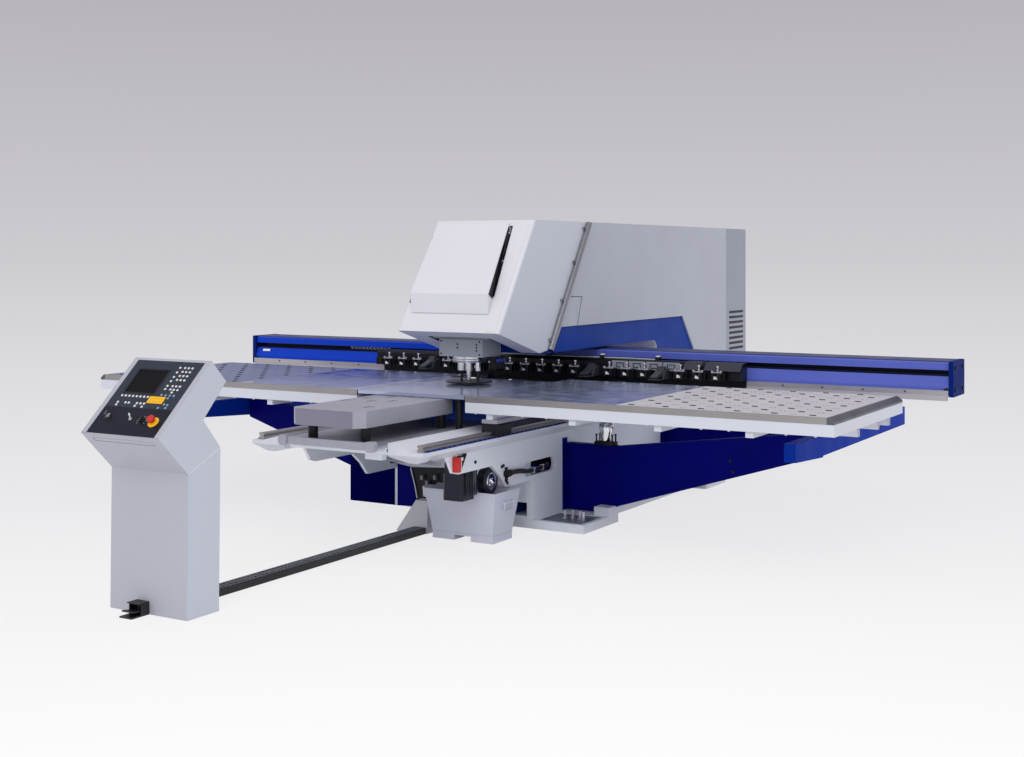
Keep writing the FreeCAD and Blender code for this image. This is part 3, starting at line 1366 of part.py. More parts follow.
def head_lid():
    """Raised lid of the hood, hinged on its left edge."""
    foot, up, out, length = hood_frame()
    left = -COVER_HALF_WIDTH + HOOD_CORNER + LID_SIDE_INSET
    right = COVER_HALF_WIDTH - HOOD_CORNER - LID_GRIP_INSET
    body = slanted_block(left, right, LID_BOTTOM_INSET, length - LID_TOP_INSET,
                         RUNNING_GAP, LID_THICKNESS)
    long_edges = [e for e in body.Edges if e.Length > 300]
    top_edges = [e for e in long_edges if (e.CenterOfMass - foot).dot(out) > LID_THICKNESS - 1]
    return body.makeFillet(5, top_edges)


def lid_hinges():
    """Two knuckle hinges at the left edge of the lid."""
    foot, up, out, length = hood_frame()
    left = -COVER_HALF_WIDTH + HOOD_CORNER + LID_SIDE_INSET
    knuckles = []
    for s in (LID_BOTTOM_INSET + 110, length - LID_TOP_INSET - 170):
        start = foot + Vector(left - 7, 0, 0) + up * s + out * 6
        knuckles.append(Part.makeCylinder(5.7, 60, start, up))
    return knuckles


def grip_slot():
    """Open channel in the slanted front where a hand reaches behind the lid."""
    foot, up, out, length = hood_frame()
    left = COVER_HALF_WIDTH - HOOD_CORNER - LID_GRIP_INSET + 6
    return slanted_block(left, left + LID_SLOT_WIDTH, 16, length - 16,
                         -2 * COVER_WALL, 2 * COVER_WALL)


def side_cover():
    """Right side cover from the slanting seam to the rear cabinet."""
    top = COVER_TOP - COVER_WALL - RUNNING_GAP
    outline = [
        (seam_y(BAND_TOP) + PANEL_GAP, BAND_TOP),
        (BAND_BACK_Y, BAND_TOP),
        (BAND_FOOT_Y, BAND_FOOT_Z),
        (BAND_FOOT_Y, COVER_BOTTOM),
        (SIDE_COVER_BACK, COVER_BOTTOM),
        (SIDE_COVER_BACK, top),
        (seam_y(top) + PANEL_GAP, top),
    ]
    panel = side_profile(outline, ARM_HALF_WIDTH, COVER_HALF_WIDTH)
    # Folded edge: the panel is a shallow tray fixed to the frame cheek.
    hollow = side_profile(inset(outline, 30), ARM_HALF_WIDTH, COVER_HALF_WIDTH - COVER_WALL)
    panel = panel.cut(hollow)
    # Door seam: a shallow groove that runs back, then down and forwards.
    groove = COVER_HALF_WIDTH - 1.2
    high = BAND_TOP + DOOR_SEAM_LIFT
    low = BAND_TOP + 37
    start = seam_y(high)
    end = start + DOOR_SEAM_LENGTH
    foot = end - 84
    upper = block(groove, COVER_HALF_WIDTH, start, end, high - DOOR_SEAM_WIDTH, high)
    slope = side_profile([
        (end - DOOR_SEAM_WIDTH, high), (end, high), (foot, low), (foot - DOOR_SEAM_WIDTH, low),
    ], groove, COVER_HALF_WIDTH)
    return panel.cut(upper).cut(slope)


def top_cover():
    z = COVER_TOP - COVER_WALL
    return block(-COVER_HALF_WIDTH, COVER_HALF_WIDTH, seam_y(COVER_TOP) + PANEL_GAP,
                 SIDE_COVER_BACK, z, COVER_TOP)


def rear_cabinet():
    """Sheet cabinet behind the column with louvred sides, open to the back."""
    x = COVER_HALF_WIDTH
    y0 = SIDE_COVER_BACK
    y1 = CABINET_BACK - CABINET_DOOR_DEPTH
    body = block(-x, x, y0, y1, COVER_BOTTOM, COVER_TOP)
    inside = block(-x + COVER_WALL, x - COVER_WALL, y0 + COVER_WALL, y1,
                   COVER_BOTTOM + COVER_WALL, COVER_TOP - COVER_WALL)
    body = body.cut(inside)
    for i in range(LOUVRE_COUNT):
        z = LOUVRE_TOP - i * LOUVRE_PITCH
        body = body.cut(block(-x, x, y0 + 80, y1 - 40, z - LOUVRE_HEIGHT, z))
    return body


def cabinet_louvres():
    """Slanting blades behind the cabinet slots, one set a side."""
    blades = []
    y0 = SIDE_COVER_BACK + 76
    y1 = CABINET_BACK - CABINET_DOOR_DEPTH - 34
    inner = COVER_HALF_WIDTH - COVER_WALL
    for i in range(LOUVRE_COUNT):
        z = LOUVRE_TOP - i * LOUVRE_PITCH
        blade = front_profile([
            (inner, z + 3), (inner - 22, z - LOUVRE_HEIGHT + 3),
            (inner - 22, z - LOUVRE_HEIGHT), (inner, z),
        ], y0, y1)
        blades.append(blade)
    return blades


def cabinet_door():
    """Rear door of the cabinet, hinged on its left edge."""
    x = COVER_HALF_WIDTH
    front = CABINET_BACK - CABINET_DOOR_DEPTH + RUNNING_GAP
    door = block(-x, x, front, CABINET_BACK, COVER_BOTTOM, COVER_TOP)
    return door.cut(block(-x + COVER_WALL, x - COVER_WALL, front,
                          CABINET_BACK - COVER_WALL, COVER_BOTTOM + COVER_WALL,
                          COVER_TOP - COVER_WALL))


def cabinet_feet():
    feet = []
    for x in (-COVER_HALF_WIDTH + 70, COVER_HALF_WIDTH - 70):
        for y in (SIDE_COVER_BACK + 80, CABINET_BACK - 110):
            pad = faceted_rod((x, y, 0), (0, 0, 1), 34, 18, 12)
            screw = faceted_rod((x, y, 18), (0, 0, 1), 12, COVER_BOTTOM - 18, 6)
            feet.append(joined([pad, screw]))
    return feet


def trim_tube():
    """Bright round tube that runs up the seam beside the hood."""
    x = COVER_HALF_WIDTH + TRIM_RADIUS + RUNNING_GAP
    start = Vector(x, seam_y(SEAM_BOTTOM_Z - 4), SEAM_BOTTOM_Z - 4)
    end = Vector(x, seam_y(COVER_TOP - 10), COVER_TOP - 10)
    along = end - start
    return Part.makeCylinder(TRIM_RADIUS, along.Length, start, along)


def trim_clips():
    """Small clips that hold the seam tubes on the hood."""
    clips = []
    for share in CLIP_SHARES:
        z = SEAM_BOTTOM_Z + share * (COVER_TOP - SEAM_BOTTOM_Z)
        y = seam_y(z)
        clip = block(COVER_HALF_WIDTH, COVER_HALF_WIDTH + 12, y - 58, y - 25, z - 9, z + 9)
        clips.append(clip)
    return clips


# ---- Operator console ----
def console_outline():
    """Pedestal, fold, backward lean and inclined head, as (y, z) points."""
    y = CONSOLE_FRONT
    back = CONSOLE_DEPTH
    dy = CONSOLE_HEAD_DEPTH * math.sin(PANEL_ANGLE)
    dz = CONSOLE_HEAD_DEPTH * math.cos(PANEL_ANGLE)
    return [
        (y, 0),
        (y + back, 0),
        (y + back, CABLE_TRAY_HEIGHT + 20),
        (y + back + 10, CONSOLE_FOLD_Z),
        (y + CONSOLE_DEPTH / 2, CONSOLE_FOLD_Z + 160),
        (y + CONSOLE_HEAD_Y + dy, CONSOLE_HEAD_Z - dz),
        (y + CONSOLE_HEAD_Y, CONSOLE_HEAD_Z),
        (y + CONSOLE_LIP_Y, CONSOLE_LIP_Z),
        (y + 11, CONSOLE_NECK_Z),
    ]


def console_housing():
    """Folded sheet housing, hollow, with the panel cut-out on the slope."""
    half = CONSOLE_WIDTH / 2
    outline = console_outline()
    body = side_profile(outline, CONSOLE_X - half, CONSOLE_X + half)
    hollow = side_profile(inset(outline, 3), CONSOLE_X - half + 3, CONSOLE_X + half - 3)
    shell = body.cut(hollow)
    recess = panel_block(-PANEL_WIDTH / 2, PANEL_WIDTH / 2, 0, PANEL_LENGTH,
                         -PANEL_THICKNESS, 20)
    shell = shell.cut(recess)
    foot = CONSOLE_FRONT
    entry = block(CONSOLE_X - 70, CONSOLE_X + 10, foot - 5, foot + 5, 0, 62)
    shell = shell.cut(entry)
    handle = lip_block(-PANEL_WIDTH / 2 + 20, PANEL_WIDTH / 2 - 20, 34, 66, -12, 12)
    return shell.cut(handle)


def console_axes():
    """Lower edge point of the control panel, its up direction and normal."""
    slope = Vector(0, math.cos(PANEL_ANGLE), math.sin(PANEL_ANGLE))
    normal = Vector(0, -math.sin(PANEL_ANGLE), math.cos(PANEL_ANGLE))
    lip = Vector(CONSOLE_X, CONSOLE_FRONT + CONSOLE_LIP_Y, CONSOLE_LIP_Z)
    length = math.hypot(CONSOLE_HEAD_Y - CONSOLE_LIP_Y, CONSOLE_HEAD_Z - CONSOLE_LIP_Z)
    margin = (length - PANEL_LENGTH) / 2
    return lip + slope * margin, slope, normal


def panel_block(x0, x1, s0, s1, n0, n1):
    """A block on the control panel: x across, s up the slope, n outwards."""
    foot, slope, normal = console_axes()
    ring = []
    for x, s in ((x0, s0), (x1, s0), (x1, s1), (x0, s1)):
        ring.append(foot + Vector(x, 0, 0) + slope * s + normal * n0)
    return prism(ring, normal * (n1 - n0))


def panel_facets(x, s, n0, n1, radius, sides):
    foot, slope, normal = console_axes()
    start = foot + Vector(x, 0, 0) + slope * s + normal * n0
    return faceted_rod(tuple(start), tuple(normal), radius, n1 - n0, sides)


def panel_rod(x, s, n0, n1, radius):
    foot, slope, normal = console_axes()
    start = foot + Vector(x, 0, 0) + slope * s + normal * n0
    return Part.makeCylinder(radius, n1 - n0, start, normal)


def panel_cone(x, s, n0, n1, radius0, radius1):
    foot, slope, normal = console_axes()
    start = foot + Vector(x, 0, 0) + slope * s + normal * n0
    return faceted_cone(tuple(start), tuple(normal), radius0, radius1, n1 - n0, 24)


def lip_block(x0, x1, s0, s1, n0, n1):
    """A block on the backward slope under the panel, measured from the lip."""
    lip = Vector(CONSOLE_X, CONSOLE_FRONT + CONSOLE_LIP_Y, CONSOLE_LIP_Z)
    neck = Vector(CONSOLE_X, CONSOLE_FRONT + 11, CONSOLE_NECK_Z)
    down = (neck - lip).normalize()
    out = Vector(0, down.z, -down.y)
    ring = []
    for x, s in ((x0, s0), (x1, s0), (x1, s1), (x0, s1)):
        ring.append(lip + Vector(x, 0, 0) + down * s + out * n0)
    return prism(ring, out * (n1 - n0))


def console_panel():
    """Control panel plate: keyed upper field and dark lower field in one sheet."""
    plate = panel_block(-PANEL_WIDTH / 2, PANEL_WIDTH / 2, 0, PANEL_LENGTH,
                        -PANEL_THICKNESS, 0)
    window = panel_block(screen_left(), screen_left() + SCREEN_WIDTH, screen_foot(),
                         screen_foot() + SCREEN_LENGTH, -PANEL_THICKNESS, 0)
    return plate.cut(window)


def screen_left():
    return -PANEL_WIDTH / 2 + 62


def screen_foot():
    return PANEL_LENGTH - 46 - SCREEN_LENGTH


def screen():
    return panel_block(screen_left(), screen_left() + SCREEN_WIDTH, screen_foot(),
                       screen_foot() + SCREEN_LENGTH, -PANEL_THICKNESS, -1.2)


def key_places():
    """Keypad columns at the right and a soft-key row under the screen."""
    places = []
    right = PANEL_WIDTH / 2 - 24
    top = PANEL_LENGTH - 34
    for row in range(8):
        gap = 12 if row > 4 else 0
        for column in (0, 1, 2, 4):
            places.append((right - column * KEY_PITCH, top - row * KEY_PITCH - gap))
    for i in range(9):
        places.append((screen_left() - 10 + i * (KEY_PITCH + 2), PANEL_SPLIT + 76))
    return places


def keys():
    half = KEY_SIZE / 2
    caps = []
    for x, s in key_places():
        caps.append(panel_block(x - half, x + half, s - half, s + half, 0, KEY_HEIGHT))
    return caps


def estop_x():
    return PANEL_WIDTH / 2 - 66


def estop_ring():
    """Yellow disc with the collar that guides the button stem."""
    disc = panel_facets(estop_x(), 62, 0, ESTOP_RING_HEIGHT, 30, 24)
    collar = panel_facets(estop_x(), 62, ESTOP_RING_HEIGHT, 18 - ESTOP_TRAVEL - 1, 17, 16)
    reach = (ESTOP_STEM_RADIUS + RUNNING_GAP) / math.cos(math.pi / 12)
    bore = panel_facets(estop_x(), 62, 0, 18, reach, 12)
    return joined([disc, collar]).cut(bore)


def estop_button():
    """Red mushroom head on its stem."""
    head = panel_facets(estop_x(), 62, 18, 29, 20, 24)
    crown = panel_cone(estop_x(), 62, 29, 35, 20, 13)
    stem = panel_facets(estop_x(), 62, ESTOP_TRAVEL + 2 * RUNNING_GAP, 18, ESTOP_STEM_RADIUS, 12)
    return joined([head, crown, stem])


def key_switch():
    """Key switch with its key, left on the lower field."""
    barrel = panel_rod(-PANEL_WIDTH / 2 + 74, 80, RUNNING_GAP, 12, 15)
    bow = panel_block(-PANEL_WIDTH / 2 + 72, -PANEL_WIDTH / 2 + 76, 66, 94, 12, 34)
    return joined([barrel, bow])


def selector_knob():
    """Override knob with a pointer ridge."""
    x = estop_x() - 88
    base = panel_rod(x, 66, RUNNING_GAP, 8, 17)
    ridge = panel_block(x - 4, x + 4, 50, 82, 8, 18)
    return joined([base, ridge])


def foot_switch():
    """Black guard of the foot switch on the floor before the pedestal."""
    x = CONSOLE_X - 34
    y = CONSOLE_FRONT
    base = block(x - 45, x + 45, y - 130, y - RUNNING_GAP, 0, 8)
    wall = block(x - 45, x - 40, y - 60, y - RUNNING_GAP, 8, 66)
    other = wall.translated(Vector(85, 0, 0))
    roof = block(x - 45, x + 45, y - 76, y - RUNNING_GAP, 66, 71)
    return joined([base, wall, other, roof])


def foot_pedal():
    """Treadle with a bored hub that tips about the pin at its back."""
    x = CONSOLE_X - 34
    y, z = pedal_hinge()
    half = 45 - 5 - RUNNING_GAP
    plate = side_profile([(y - 88, z + 10), (y, z + 2), (y, z + 7), (y - 88, z + 18)],
                         x - half, x + half)
    hub = rod((x - half, y, z), (1, 0, 0), PEDAL_PIN_RADIUS + 5, 2 * half)
    bore = rod((x - half, y, z), (1, 0, 0), PEDAL_PIN_RADIUS + RUNNING_GAP, 2 * half)
    return joined([plate, hub]).cut(bore)


def pedal_hinge():
    return CONSOLE_FRONT - 30, 20.0


def pedal_pin():
    x = CONSOLE_X - 34
    y, z = pedal_hinge()
    return rod((x - 40, y, z), (1, 0, 0), PEDAL_PIN_RADIUS, 80)


# ---- Floor items ----
def frustum(x0, x1, y0, y1, z0, z1, side, end):
    """Flaring box: rectangle below, larger rectangle above."""
    low = [Vector(x0, y0, z0), Vector(x1, y0, z0), Vector(x1, y1, z0), Vector(x0, y1, z0)]
    high = [Vector(x0 - side, y0 - end, z1), Vector(x1 + side, y0 - end, z1),
            Vector(x1 + side, y1 + end, z1), Vector(x0 - side, y1 + end, z1)]
    return tapered_box(low, high)


def scrap_bin():
    """Slug bin with flaring walls on a notched foot band."""
    side = BIN_FLARE_SIDE
    end = BIN_FLARE_END
    body = frustum(BIN_LEFT, BIN_RIGHT, BIN_FRONT, BIN_BACK, BIN_FOOT, BIN_HEIGHT, side, end)
    w = BIN_WALL
    hollow = frustum(BIN_LEFT + w, BIN_RIGHT - w, BIN_FRONT + w, BIN_BACK - w,
                     BIN_FOOT + w, BIN_HEIGHT, side, end)
    band = block(BIN_LEFT, BIN_RIGHT, BIN_FRONT, BIN_BACK, 0, BIN_FOOT)
    middle = (BIN_LEFT + BIN_RIGHT) / 2
    notch = block(middle - 66, middle + 66, BIN_FRONT, BIN_BACK, 0, BIN_FOOT - 16)
    return joined([body.cut(hollow), band.cut(notch)])


def bin_handles():
    """Bow handles welded on both ends of the bin."""
    grip_z = BIN_HEIGHT - 70
    reach = BIN_FLARE_SIDE * (grip_z - BIN_FOOT) / (BIN_HEIGHT - BIN_FOOT)
    x = BIN_RIGHT + reach
    centre = (BIN_FRONT + BIN_BACK) / 2
    half = BIN_HANDLE_WIDTH / 2
    slant = BIN_FLARE_SIDE / (BIN_HEIGHT - BIN_FOOT) * 5
    bow = plan_profile([
        (x + slant, centre - half), (x + 34, centre - half),
        (x + 34, centre + half), (x + slant, centre + half),
        (x + slant, centre + half - 10), (x + 24, centre + half - 10),
        (x + 24, centre - half + 10), (x + slant, centre - half + 10),
    ], grip_z - 5, grip_z + 5)
    middle = BIN_LEFT + BIN_RIGHT
    return [bow, mirrored(bow).translated(Vector(middle, 0, 0))]


def cable_tray():
    """Ladder-topped floor duct between the console and the machine."""
    half = CABLE_TRAY_WIDTH / 2
    y0 = CONSOLE_BACK
    y1 = BRACKET_FRONT + BRACKET_MOUTH
    outline = [(-half, 0), (half, 0), (half, CABLE_TRAY_HEIGHT), (-half, CABLE_TRAY_HEIGHT)]
    body = front_profile(outline, y0, y1)
    w = CABLE_TRAY_WALL
    hollow = block(-half + w, half - w, y0, y1, w, CABLE_TRAY_HEIGHT - w)
    body = body.cut(hollow)
    # Punched lid: a row of cross slots between the rungs.
    slots = []
    count = int((y1 - y0 - 200) / CABLE_TRAY_PITCH)
    for i in range(count):
        y = y0 + 60 + i * CABLE_TRAY_PITCH
        slots.append(block(-half + 14, half - 14, y, y + CABLE_TRAY_PITCH - CABLE_TRAY_RUNG * 2,
                           CABLE_TRAY_HEIGHT - w, CABLE_TRAY_HEIGHT))
    return body.cut(group(slots))


def tray_bracket():
    """Tapered folded housing where the floor duct turns up to the machine."""
    y = BRACKET_FRONT
    back = y + BRACKET_DEPTH
    low = [Vector(BRACKET_LEFT, y, 0), Vector(BRACKET_RIGHT, y, 0),
           Vector(BRACKET_RIGHT, back, 0), Vector(BRACKET_LEFT, back, 0)]
    top = BRACKET_HEIGHT
    high = [Vector(BRACKET_TOP_LEFT, y + 40, top), Vector(BRACKET_TOP_RIGHT, y + 40, top),
            Vector(BRACKET_TOP_RIGHT, back - 20, top), Vector(BRACKET_TOP_LEFT, back - 20, top)]
    body = tapered_box(low, high)
    half = CABLE_TRAY_WIDTH / 2
    body = body.cut(block(-half, half, y - 5, y + BRACKET_MOUTH, 0, CABLE_TRAY_HEIGHT))
    run = block(BRACKET_TOP_LEFT, BRACKET_TOP_RIGHT, back - 20, FRAME_FRONT, 0,
                BRACKET_HEIGHT / 2)
    return joined([body, run])


def power_box():
    """Blue floor-standing cabinet in front of the left outrigger."""
    back = OUTRIGGER_FRONT_Y
    body = block(POWER_BOX_LEFT, POWER_BOX_RIGHT, POWER_BOX_FRONT, back, 0, POWER_BOX_TOP)
    edges = [e for e in body.Edges if abs(e.BoundBox.ZLength - POWER_BOX_TOP) < 1e-6]
    return body.makeFillet(6, edges)


# ---- Drive parts in front of the frame ----
def drive_motor():
    """Square motor with its end bell, hung on a bracket from the nose plate."""
    inner = SIDE_PLATE_X - SIDE_PLATE_THICKNESS
    right = inner - 19
    left = right - MOTOR_SIZE
    front = MOTOR_FRONT
    back = front + MOTOR_SIZE
    top = BEAM_SEAT_HEIGHT - NOSE_HEIGHT
    body = bevelled_plan(left, right, front, back, top - MOTOR_LENGTH, top - 26, 16)
    cap = bevelled_plan(left + 8, right - 8, front + 8, back - 8, top - 26, top, 12)
    shelf = block(left + 12, inner, front + 20, back - 20, top, top + 12)
    upright = block(inner - 14, inner, front + 20, back - 20, top + 12, top + 90)
    return joined([body, cap, shelf, upright])


def drive_gearbox():
    """Round gear housing on the inside of the nose plate."""
    inner = SIDE_PLATE_X - SIDE_PLATE_THICKNESS
    x = inner - GEARBOX_WIDTH
    body = faceted_rod((x, GEARBOX_Y, GEARBOX_Z), (1, 0, 0), GEARBOX_RADIUS, GEARBOX_WIDTH, 24)
    ring = faceted_rod((x, GEARBOX_Y, GEARBOX_Z), (-1, 0, 0), GEARBOX_RADIUS - 30, 18, 20)
    hub = faceted_rod((x - 18, GEARBOX_Y, GEARBOX_Z), (-1, 0, 0), 30, 16, 12)
    return joined([body, ring, hub])


def filter_bowl():
    """Bright air filter bowl on its black flange, on the right outrigger."""
    foot = OUTRIGGER_INNER_TOP
    y = OUTRIGGER_FRONT_Y + OUTRIGGER_DEPTH / 2
    bowl = faceted_rod((900, y, foot + 26), (0, 0, 1), 52, 120, 24)
    shoulder = faceted_cone((900, y, foot + 146), (0, 0, 1), 52, 34, 20, 24)
    return joined([bowl, shoulder])


def filter_base():
    foot = OUTRIGGER_INNER_TOP
    return block(820, 980, OUTRIGGER_FRONT_Y, OUTRIGGER_FRONT_Y + OUTRIGGER_DEPTH,
                 foot, foot + 26)


def limit_switch():
    """Red and white switch box on the tip of the nose plate."""
    x = SIDE_PLATE_X
    z1 = BEAM_SEAT_HEIGHT - 10
    return block(x, x + 44, NOSE_FRONT + 62, NOSE_FRONT + 132, z1 - 96, z1)


# ---- Hoses ----
def tube_along(points, radius):
    """Round tube on straight runs joined by tangent arcs as wide as they fit."""
    places = [Vector(*p) for p in points]
    edges = []
    bends = []
    start = places[0]
    for i in range(1, len(places) - 1):
        before = places[i] - places[i - 1]
        after = places[i + 1] - places[i]
        turn = before.getAngle(after)
        bend = 0.45 * min(before.Length, after.Length) / math.tan(turn / 2)
        bends.append(bend)
        trim = bend * math.tan(turn / 2)
        u = Vector(before).normalize()
        v = Vector(after).normalize()
        enter = places[i] - u * trim
        leave = places[i] + v * trim
        inward = (v - u).normalize()
        middle = places[i] + inward * (bend / math.cos(turn / 2) - bend)
        edges.append(Part.LineSegment(start, enter).toShape())
        edges.append(Part.Arc(enter, middle, leave).toShape())
        start = leave
    edges.append(Part.LineSegment(start, places[-1]).toShape())
    path = Part.Wire(edges)
    first = Vector(places[1] - places[0]).normalize()
    side = first.cross(Vector(0, 0, 1)).normalize()
    other = first.cross(side)
    ring = []
    for i in range(TUBE_SIDES):
        a = 2 * math.pi * i / TUBE_SIDES
        ring.append(places[0] + side * (radius * math.cos(a)) + other * (radius * math.sin(a)))
    section = Part.makePolygon(ring + ring[:1])
    print("hose bends", [round(b) for b in bends])
    return path.makePipeShell([section], True, False)


def feed_hose():
    """Black supply hose from the frame cheek, out of the slot, to its gland."""
    x = hose_x()
    z = (HOSE_SLOT_BOTTOM + HOSE_SLOT_TOP) / 2
    y = HOSE_SLOT_BACK - 30
    sweep = x - ARM_HALF_WIDTH - FEED_HOSE_START
    step = 2 * sweep * math.tan(math.radians(11.25))
    points = [(ARM_HALF_WIDTH, y, z)]
    place = Vector(x - sweep + step / 2, y, z)
    points.append(tuple(place))
    # Quarter turn from the cheek to the outside of the side plate.
    for angle in (22.5, 45.0, 67.5):
        a = math.radians(angle)
        place = place + Vector(step * math.cos(a), -step * math.sin(a), 0)
        points.append(tuple(place))
    reach = place.y - GLAND_BACK
    points.append((x + 2, place.y - reach * 0.25, z - 6))
    points.append((x + 1, place.y - reach * 0.52, z - 9))
    points.append((x, place.y - reach * 0.78, hose_gland_z()))
    points.append((x, GLAND_BACK, hose_gland_z()))
    return tube_along(points, FEED_HOSE_RADIUS)


def hose_x():
    return SIDE_PLATE_X + FEED_HOSE_RADIUS + 4


def hose_gland_z():
    return (HOSE_SLOT_BOTTOM + HOSE_SLOT_TOP) / 2 + 14


def hose_gland():
    """Gland on a small foot plate where the supply hose enters the tongue."""
    x = hose_x()
    z = hose_gland_z()
    sleeve = faceted_rod((x, GLAND_BACK, z), (0, -1, 0), FEED_HOSE_RADIUS + 3, GLAND_LENGTH, 12)
    foot = block(SIDE_PLATE_X, x, GLAND_BACK - GLAND_LENGTH, GLAND_BACK, z - 14, z + 14)
    strap = block(SIDE_PLATE_X, SIDE_PLATE_X + 8, GLAND_BACK - 40, GLAND_BACK - 10,
                  z - 60, z + 40)
    return joined([sleeve, foot, strap])


def main():
    os.makedirs("parts", exist_ok=True)
    clamp_x = [i * STATION_PITCH for i in CLAMP_STATIONS]
    # Ground and frame
    save("base_plates", group([base_plate(), rear_base_plate(), column_base_plate(),
                               foot_beam()] + cabinet_feet()))
    save("lower_frame", lower_frame())
    save("c_frame", c_frame())
    front_right = outrigger(OUTRIGGER_FRONT_Y, 1)
    rear_right = outrigger(OUTRIGGER_REAR_Y, -1)
    save("outriggers", group(both_sides([front_right, rear_right])))
    save("lateral_beams", group(both_sides([lateral_beam()])))
    save("guide_beams", group(both_sides([guide_beam()])))
    save("guide_rails", group(both_sides([guide_rail()])))
    save("platform", group([platform(), platform_cross_bar()]))
    save("front_cross_member", group([front_cross_member(), member_box()]))
    save("loading_plate", loading_plate())
    save("platform_posts", group(loading_posts() + both_sides([table_prop()])))
    save("centre_table", centre_table())
    save("die_holder", die_holder())
    save("die", die())
    # Head and covers
    save("head_casting", head_casting())
    save("hood", hood())
    save("head_lid", head_lid())
    save("body_covers", group(both_sides([side_cover()]) + [top_cover()]))
    save("cover_trim", group(both_sides([trim_tube()] + trim_clips()) + lid_hinges()))
    save("rear_cabinet", group([rear_cabinet()] + both_sides(cabinet_louvres())))
    save("cabinet_door", cabinet_door())
    # Fixed equipment
    save("power_box", power_box())
    save("drive_unit", group([drive_motor(), drive_gearbox()]))
    save("filter_unit", group([filter_bowl(), filter_base()]))
    save("scrap_bin", group([scrap_bin()] + bin_handles()))
    save("cable_tray", group([cable_tray(), tray_bracket()]))
    save("feed_hose", feed_hose())
    save("nose_fittings", group([hose_gland(), limit_switch()]))
    # Console
    save("console_housing", console_housing())
    save("console_panel", console_panel())
    save("screen", screen())
    save("keys", group(keys()))
    save("estop_ring", estop_ring())
    save("estop_button", estop_button())
    save("key_switch", key_switch())
    save("selector_knob", selector_knob())
    save("foot_switch", group([foot_switch(), pedal_pin()]))
    save("foot_pedal", foot_pedal())
    # Moving table
    save("slide_beams", group(both_sides([slide_beam()])))
    save("bearing_blocks", group(both_sides(bearing_blocks())))
    save("wing_frames", group(both_sides([wing_frame()])))
    save("table_plates", group(both_sides([table_plate()])))
    save("brush_tables", group(both_sides([brush_table()])))
    save("brush_inserts", group(both_sides(brush_inserts())))
    save("ground_strips", group(both_sides([edge_strip(), end_ramp()]) + [rail_strip()]))
    save("cross_tubes", group(both_sides(cross_tubes())))
    save("cross_rail", cross_rail())
    save("rail_end_caps", group(both_sides([rail_end_cap()])))
    # Tool carriage
    connectors = [connector(x) for x in connector_places()]
    save("carriage_beam", joined([carriage_beam()] + carriage_runners() + connectors))
    save("carriage_lines", group(carriage_lines()))
    save("cassettes", group([cassette(x) for i, x in tool_stations()]))
    save("tools", group([tool(x) for i, x in tool_stations()]))
    save("clamp_bodies", group([clamp_body(x) for x in clamp_x]))
    names = ("clamp_jaw_left", "clamp_jaw_middle", "clamp_jaw_right")
    for name, x in zip(names, clamp_x):
        save(name, clamp_jaw(x))
    save("cover_sheets", group(cover_sheets()))
    # Punching head
    save("tool_rotor", tool_rotor())
    save("punch_ram", group([punch_ram()] + punch()))
    save("stripper", stripper())


main()
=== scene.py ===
import math

import bpy
import numpy as np
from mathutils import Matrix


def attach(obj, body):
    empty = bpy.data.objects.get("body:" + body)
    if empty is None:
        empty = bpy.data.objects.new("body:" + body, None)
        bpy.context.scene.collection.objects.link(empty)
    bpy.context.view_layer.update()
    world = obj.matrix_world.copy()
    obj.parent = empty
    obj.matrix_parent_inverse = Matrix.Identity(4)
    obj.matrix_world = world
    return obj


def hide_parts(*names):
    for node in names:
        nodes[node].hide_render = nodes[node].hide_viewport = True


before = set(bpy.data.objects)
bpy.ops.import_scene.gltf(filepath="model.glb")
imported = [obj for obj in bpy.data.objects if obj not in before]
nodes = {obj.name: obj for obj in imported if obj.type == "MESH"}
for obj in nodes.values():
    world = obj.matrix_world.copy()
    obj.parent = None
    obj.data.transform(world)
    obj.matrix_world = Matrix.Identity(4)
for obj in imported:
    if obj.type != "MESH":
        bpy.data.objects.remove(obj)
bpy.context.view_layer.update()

print("frame loaded:", len(nodes), "nodes")


# camera on the operator's right, level with the top of the covers
cameraSettings = dict(place=(5.472, -8.651, 1.92), turn=30.55, lens=49.02, sensor=36.0, shift=-0.119,
                      farEnd=3000.0)


def makeCamera(settings):
    data = bpy.data.cameras.new("photoCamera")
    data.lens = settings["lens"]
    data.sensor_width = settings["sensor"]
    data.shift_y = settings["shift"]
    data.clip_end = settings["farEnd"]
    camera = bpy.data.objects.new("photoCamera", data)
    camera.location = settings["place"]
    camera.rotation_euler = (math.radians(90.0), 0.0, math.radians(settings["turn"]))
    bpy.context.scene.collection.objects.link(camera)
    bpy.context.scene.camera = camera


makeCamera(cameraSettings)
print("camera set")


# the supply hose on the right cheek and the four service lines on the carriage
cordSettings = dict(
    hose=dict(diameter=0.034, length=0.763, route=(
        (0.415, 0.19, 0.427), (0.4808, 0.19, 0.427), (0.5415, 0.1649, 0.427), (0.5879, 0.1185, 0.427),
        (0.613, 0.0578, 0.427), (0.615, -0.0666, 0.421), (0.614, -0.201, 0.418), (0.613, -0.3305, 0.441),
        (0.613, -0.44, 0.441))),
    lines=dict(diameter=0.010, length=0.447, first=-0.942, pitch=0.48, run=0.444, y=1.21985, z=1.123,
               wave=0.015))


